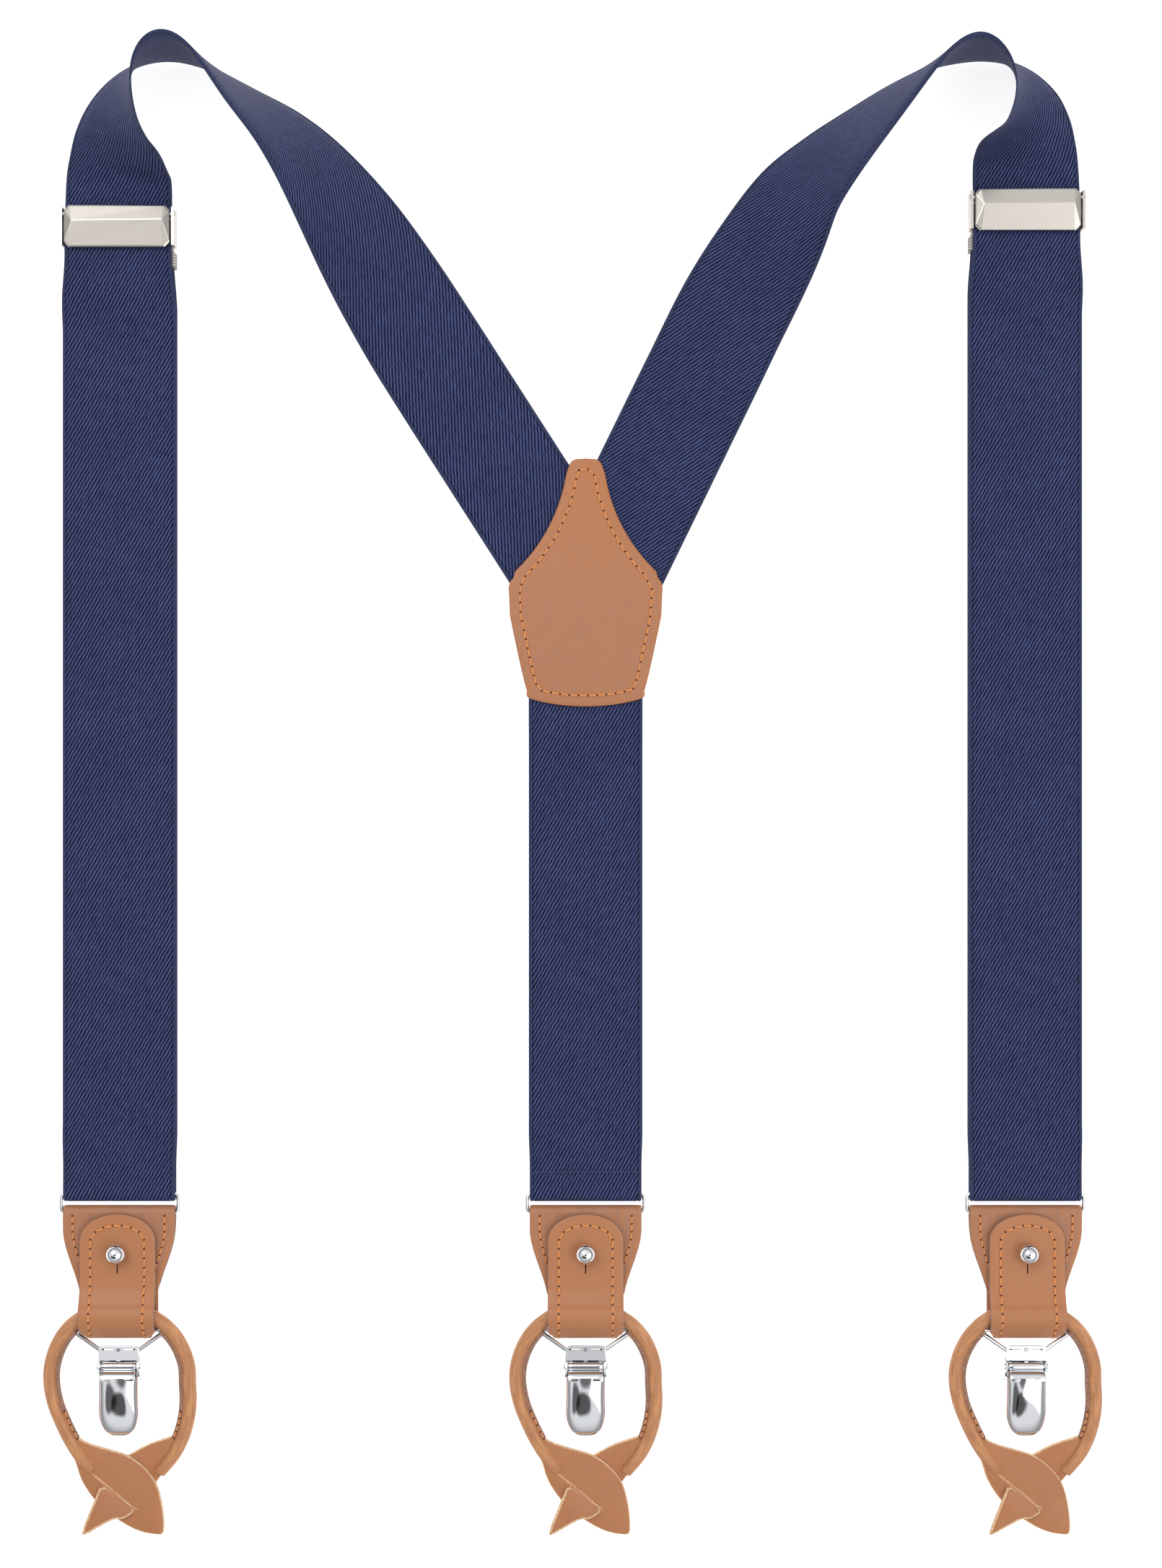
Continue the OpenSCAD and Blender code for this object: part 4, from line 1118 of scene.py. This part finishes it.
def button_loop(end):
    x = END_X[end]
    skin = LOOK["rolled"]
    both = [LOOK["leather"], LOOK["cut"]]
    left, left_path = roll("left_roll", x, -1, LEFT_ROLL, skin)
    right, right_path = roll("right_roll", x, 1, RIGHT_ROLL, skin)
    left_edge, left_row = seam_flange("left_seam", left_path, -1)
    right_edge, right_row = seam_flange("right_seam", right_path, 1)
    (ax, ay), (bx, by) = SLIT
    along = Vector((bx - ax, by - ay)).normalized()

    def placed(outline, times, spacing=0.8):
        fine = even_points([(x + px, py) for px, py in rounded(outline, times)], spacing, closed=True)
        return [tuple(p) for p in fine[:-1]]

    def rise_to_roll(px, py):
        return 1.3 * smooth((px - x - 7 + (py + 205) * 0.3) / 10)

    def dip_into_slit(px, py):
        away = (Vector((px - x - ax, py - ay))).dot(Vector((along.y, -along.x)))
        return -1.5 * smooth(1 - away / 1.8)

    lower = plate("lower_flat", placed(RIGHT_FLAT, 2), 0.05, 1.45, both, edge=0.3, lift=rise_to_roll)
    upper = plate("upper_flat", placed(LEFT_FLAT, 2), 1.6, 3.0, both, edge=0.3)
    tongue = plate("tongue", placed(TONGUE, 1, 0.6), 3.05, 4.5, both, edge=0.7, lift=dip_into_slit)
    across = Vector((-along.y, along.x)) * 0.36
    slit = plate("slit", [
        (x + ax - across.x, ay - across.y), (x + bx - across.x, by - across.y),
        (x + bx + across.x, by + across.y), (x + ax + across.x, ay + across.y),
    ], 2.3, 5, [LOOK["cut"]], edge=0.01)
    cut_out(upper, slit)
    parts = [left, right, left_edge, right_edge, lower, upper, tongue]
    obj = join(f"{end}_button_loop_leather", parts)
    finished(obj, f"{end}_loop", "rolled_leather", f"{end}_button_loop")
    finished(join(f"{end}_loop_stitches", [left_row, right_row]), f"{end}_loop", "leather")


# ---- Clip ----


def lever_half(y):
    """Half of the lever's width: straight sides and a rounded nose."""
    nose, half = 8.4, 6.3
    reach = (y - LEVER_TIP_Y) / nose
    if reach >= 1:
        return half
    angle = math.asin(min(max(1 - reach, 0), 1))
    return half * max(math.cos(angle), 0.0) ** 0.72


def clip_lever(end):
    """The lever: a pressed dome with a broad flat crown, a flat root and a barrel round the pin."""
    x = END_X[end]
    rim, crown_r, peak_y, peak_z = 3.0, 31.0, LEVER_TOP_Y - 4, 7.2
    rows, columns = 34, 28
    rings, cloth = [], []
    for i in range(rows):
        t = i / (rows - 1)
        y = lerp(LEVER_TOP_Y - 0.6, LEVER_TIP_Y + 0.02, 1 - (1 - t) ** 1.8)
        half = max(lever_half(y), 0.15)
        crown = peak_z - crown_r + math.sqrt(crown_r**2 - (y - peak_y) ** 2)
        crown = rim + (crown - rim) * smooth((y - LEVER_TIP_Y) / 1.6 + 0.12)
        outer, inner = [], []
        for k in range(columns + 1):
            a = math.pi * k / columns
            c, s = math.cos(a), math.sin(a)
            u = math.copysign(abs(c) ** 0.8, c)
            n = abs(s) ** 0.8
            outer.append((x + u * half, y, rim + (crown - rim) * n))
            inner.append((x + u * max(half - 0.7, 0.05), y, rim + max(crown - rim - 0.7, 0.02) * n))
        rings.append(outer + inner[::-1])
        cloth.append([(p[0] - x, p[1], 1) for p in outer + inner[::-1]])
    chrome, sheet = [LOOK["chrome"]], 0.7
    dome = loft("dome", [r[::-1] for r in rings], [c[::-1] for c in cloth], chrome)
    from_pin = [(-1.0, -0.2), (-1.35, 0.5), (-1.3, 1.3), (-1.9, 2.2)]
    root = [(CLIP_PIN_Y + y, CLIP_PIN_Z + z) for y, z in from_pin]
    root += [(LEVER_TOP_Y - 0.3, 6.55), (LEVER_TOP_Y - 1.4, 6.6)]
    neck = strip("root", line_stations(x, root[::-1], lambda y, s: 5.35), sheet, leather_section, chrome)
    turn = arc((CLIP_PIN_Y, CLIP_PIN_Z), 1.0, -200, 130, 24)
    barrel = strip("barrel", line_stations(x, turn, lambda y, s: 5.3), sheet, leather_section, chrome)
    obj = join(f"{end}_lever_plate", [dome, neck, barrel])
    finished(obj, f"{end}_lever", "chrome", f"{end}_clip_lever")


def clip_details(end):
    """The clip's top plate over its knuckle, with two slots, a thin dark sheet of painted shade under each,
    and two small square tabs.
    """
    x = END_X[end]
    half, high, low = 6.1, -166.4, -171.0
    corner = arc((half - 0.9, high - 0.9), 0.9, 0, 90, 6)
    outline = [(half, low)] + corner
    whole = [(x + px, py) for px, py in outline + mirrored(outline)]
    top = plate("top", whole, 3.45, 4.05, [LOOK["chrome"]], edge=0.2)
    slot_shadow_sheets = []
    for sign in (-1, 1):
        near, far = sorted((sign * 1.6, sign * 5.0))
        slot_outline = rectangle(x + near, x + far, -167.8, -167.35)
        cut_out(top, plate("slot", slot_outline, 3, 5, [LOOK["chrome"]], edge=0.01))
        # Painted shade: a thin dark sheet under each slot stands for the shade beneath the plate.
        slot_shadow_sheets.append(plate("slot_shadow_sheet", slot_outline, 3.5, 3.62, [LOOK["slot"]], edge=0.01))
    tabs = [top] + slot_shadow_sheets
    for y in (-167.6, -171.4):
        square = rectangle(x - 0.6, x + 0.6, y - 0.6, y + 0.6)
        tabs.append(plate("square", square, 3.9, 4.35, [LOOK["steel"]], edge=0.12))
    obj = faceted(join(f"{end}_clip_plate", tabs))
    finished(obj, f"{end}_clip", "chrome")


# ---- CAD nodes that stay ----


def dress_nodes():
    """Gives every CAD node that is still shown its own procedural material."""
    kinds = {
        "adjuster_frame": "nickel", "adjuster_pins": "nickel", "stud": "chrome", "clip_frame": "chrome",
        "clip_pin": "chrome", "clip_spring": "steel", "jaw_pad": "pad",
    }
    for name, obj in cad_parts.items():
        kind = name.split("_", 1)[1]
        if kind in kinds:
            for slot in obj.material_slots:
                slot.material = LOOK[kinds[kind]]


# ---- Studio ----


def make_camera():
    data = bpy.data.cameras.new("camera")
    data.lens = 57.1
    data.sensor_width = 36
    camera = add_object("camera", data)
    camera.location = (0.0026, 0.0032, 0.755)
    bpy.context.scene.camera = camera


def area_light(name, place, size, power):
    """A square light that faces the middle of the object."""
    data = bpy.data.lights.new(name, "AREA")
    data.shape = "RECTANGLE"
    data.size = data.size_y = size
    data.energy = power
    light = add_object(name, data)
    light.location = place
    light.rotation_euler = (Vector((0, 0, 0)) - Vector(place)).to_track_quat("-Z", "Y").to_euler()


# The tent's darker parts: direction, angles from it where the shade starts and is full, brightness there
TENT_SHADES = [
    ((0, 0, 1), 15, 7, 0.2),
    ((0, 0, 1), 52, 72, 0.42),
    ((-0.1, -0.5, 0.86), 17, 11, 0.12),
    ((-0.45, -0.38, 0.8), 20, 12, 0.16),
]


def make_studio():
    """A white tent with a small dark opening overhead, darker panels low in front and a grey horizon."""
    scene = bpy.context.scene
    scene.view_settings.view_transform = "Standard"
    world = bpy.data.worlds.new("tent")
    scene.world = world
    tent = Nodes(world)
    seen = tent.node("TexCoord").outputs["Generated"]
    brightness = 1.15
    for direction, outer, inner, level in TENT_SHADES:
        towards = Vector(direction).normalized()
        facing = tent.made("VectorMath", (seen, towards), "Value", operation="DOT_PRODUCT")
        limits = (math.cos(math.radians(angle)) for angle in (outer, inner))
        brightness = tent.math("MULTIPLY", tent.between(facing, *limits, 1.0, level), brightness)
    background = tent.node("Background", Strength=brightness)
    tent.node("OutputWorld", Surface=background.outputs[0])
    area_light("key", (-0.5, 0.6, 1.3), 0.9, 6.5)
    area_light("fill", (0.8, -0.3, 1.1), 1.2, 4.7)


def make_floor():
    size, z = 3.0, -0.0003
    mesh = bpy.data.meshes.new("floor")
    corners = [(x, y, z) for x, y in rectangle(-size, size, -size, size)]
    mesh.from_pydata(corners, [], [(0, 1, 2, 3)])
    floor = add_object("floor", mesh)
    s = Shader("white_floor", Roughness=0.9, Specular_IOR_Level=0.1, Emission_Strength=0.85)
    s.set(Emission_Color=(1, 1, 1, 1))
    s.set(Base_Color=s.mix(s.noise(s.place(1), 3, 2), (0.5, 0.5, 0.5, 1), (0.54, 0.54, 0.54, 1)))
    mesh.materials.append(s.material)


def build():
    make_camera()
    for side in SIDES:
        shoulder_webbing(side, front_webbing(side))
        for make in (rear_webbing, sewn_webbing, adjuster):
            make(side)
    back_webbing()
    patch()
    for end in ENDS:
        for make in (ring, tab, flap, button_loop, bail, clip_lever, clip_details):
            make(end)
    dress_nodes()
    make_studio()
    make_floor()


build()
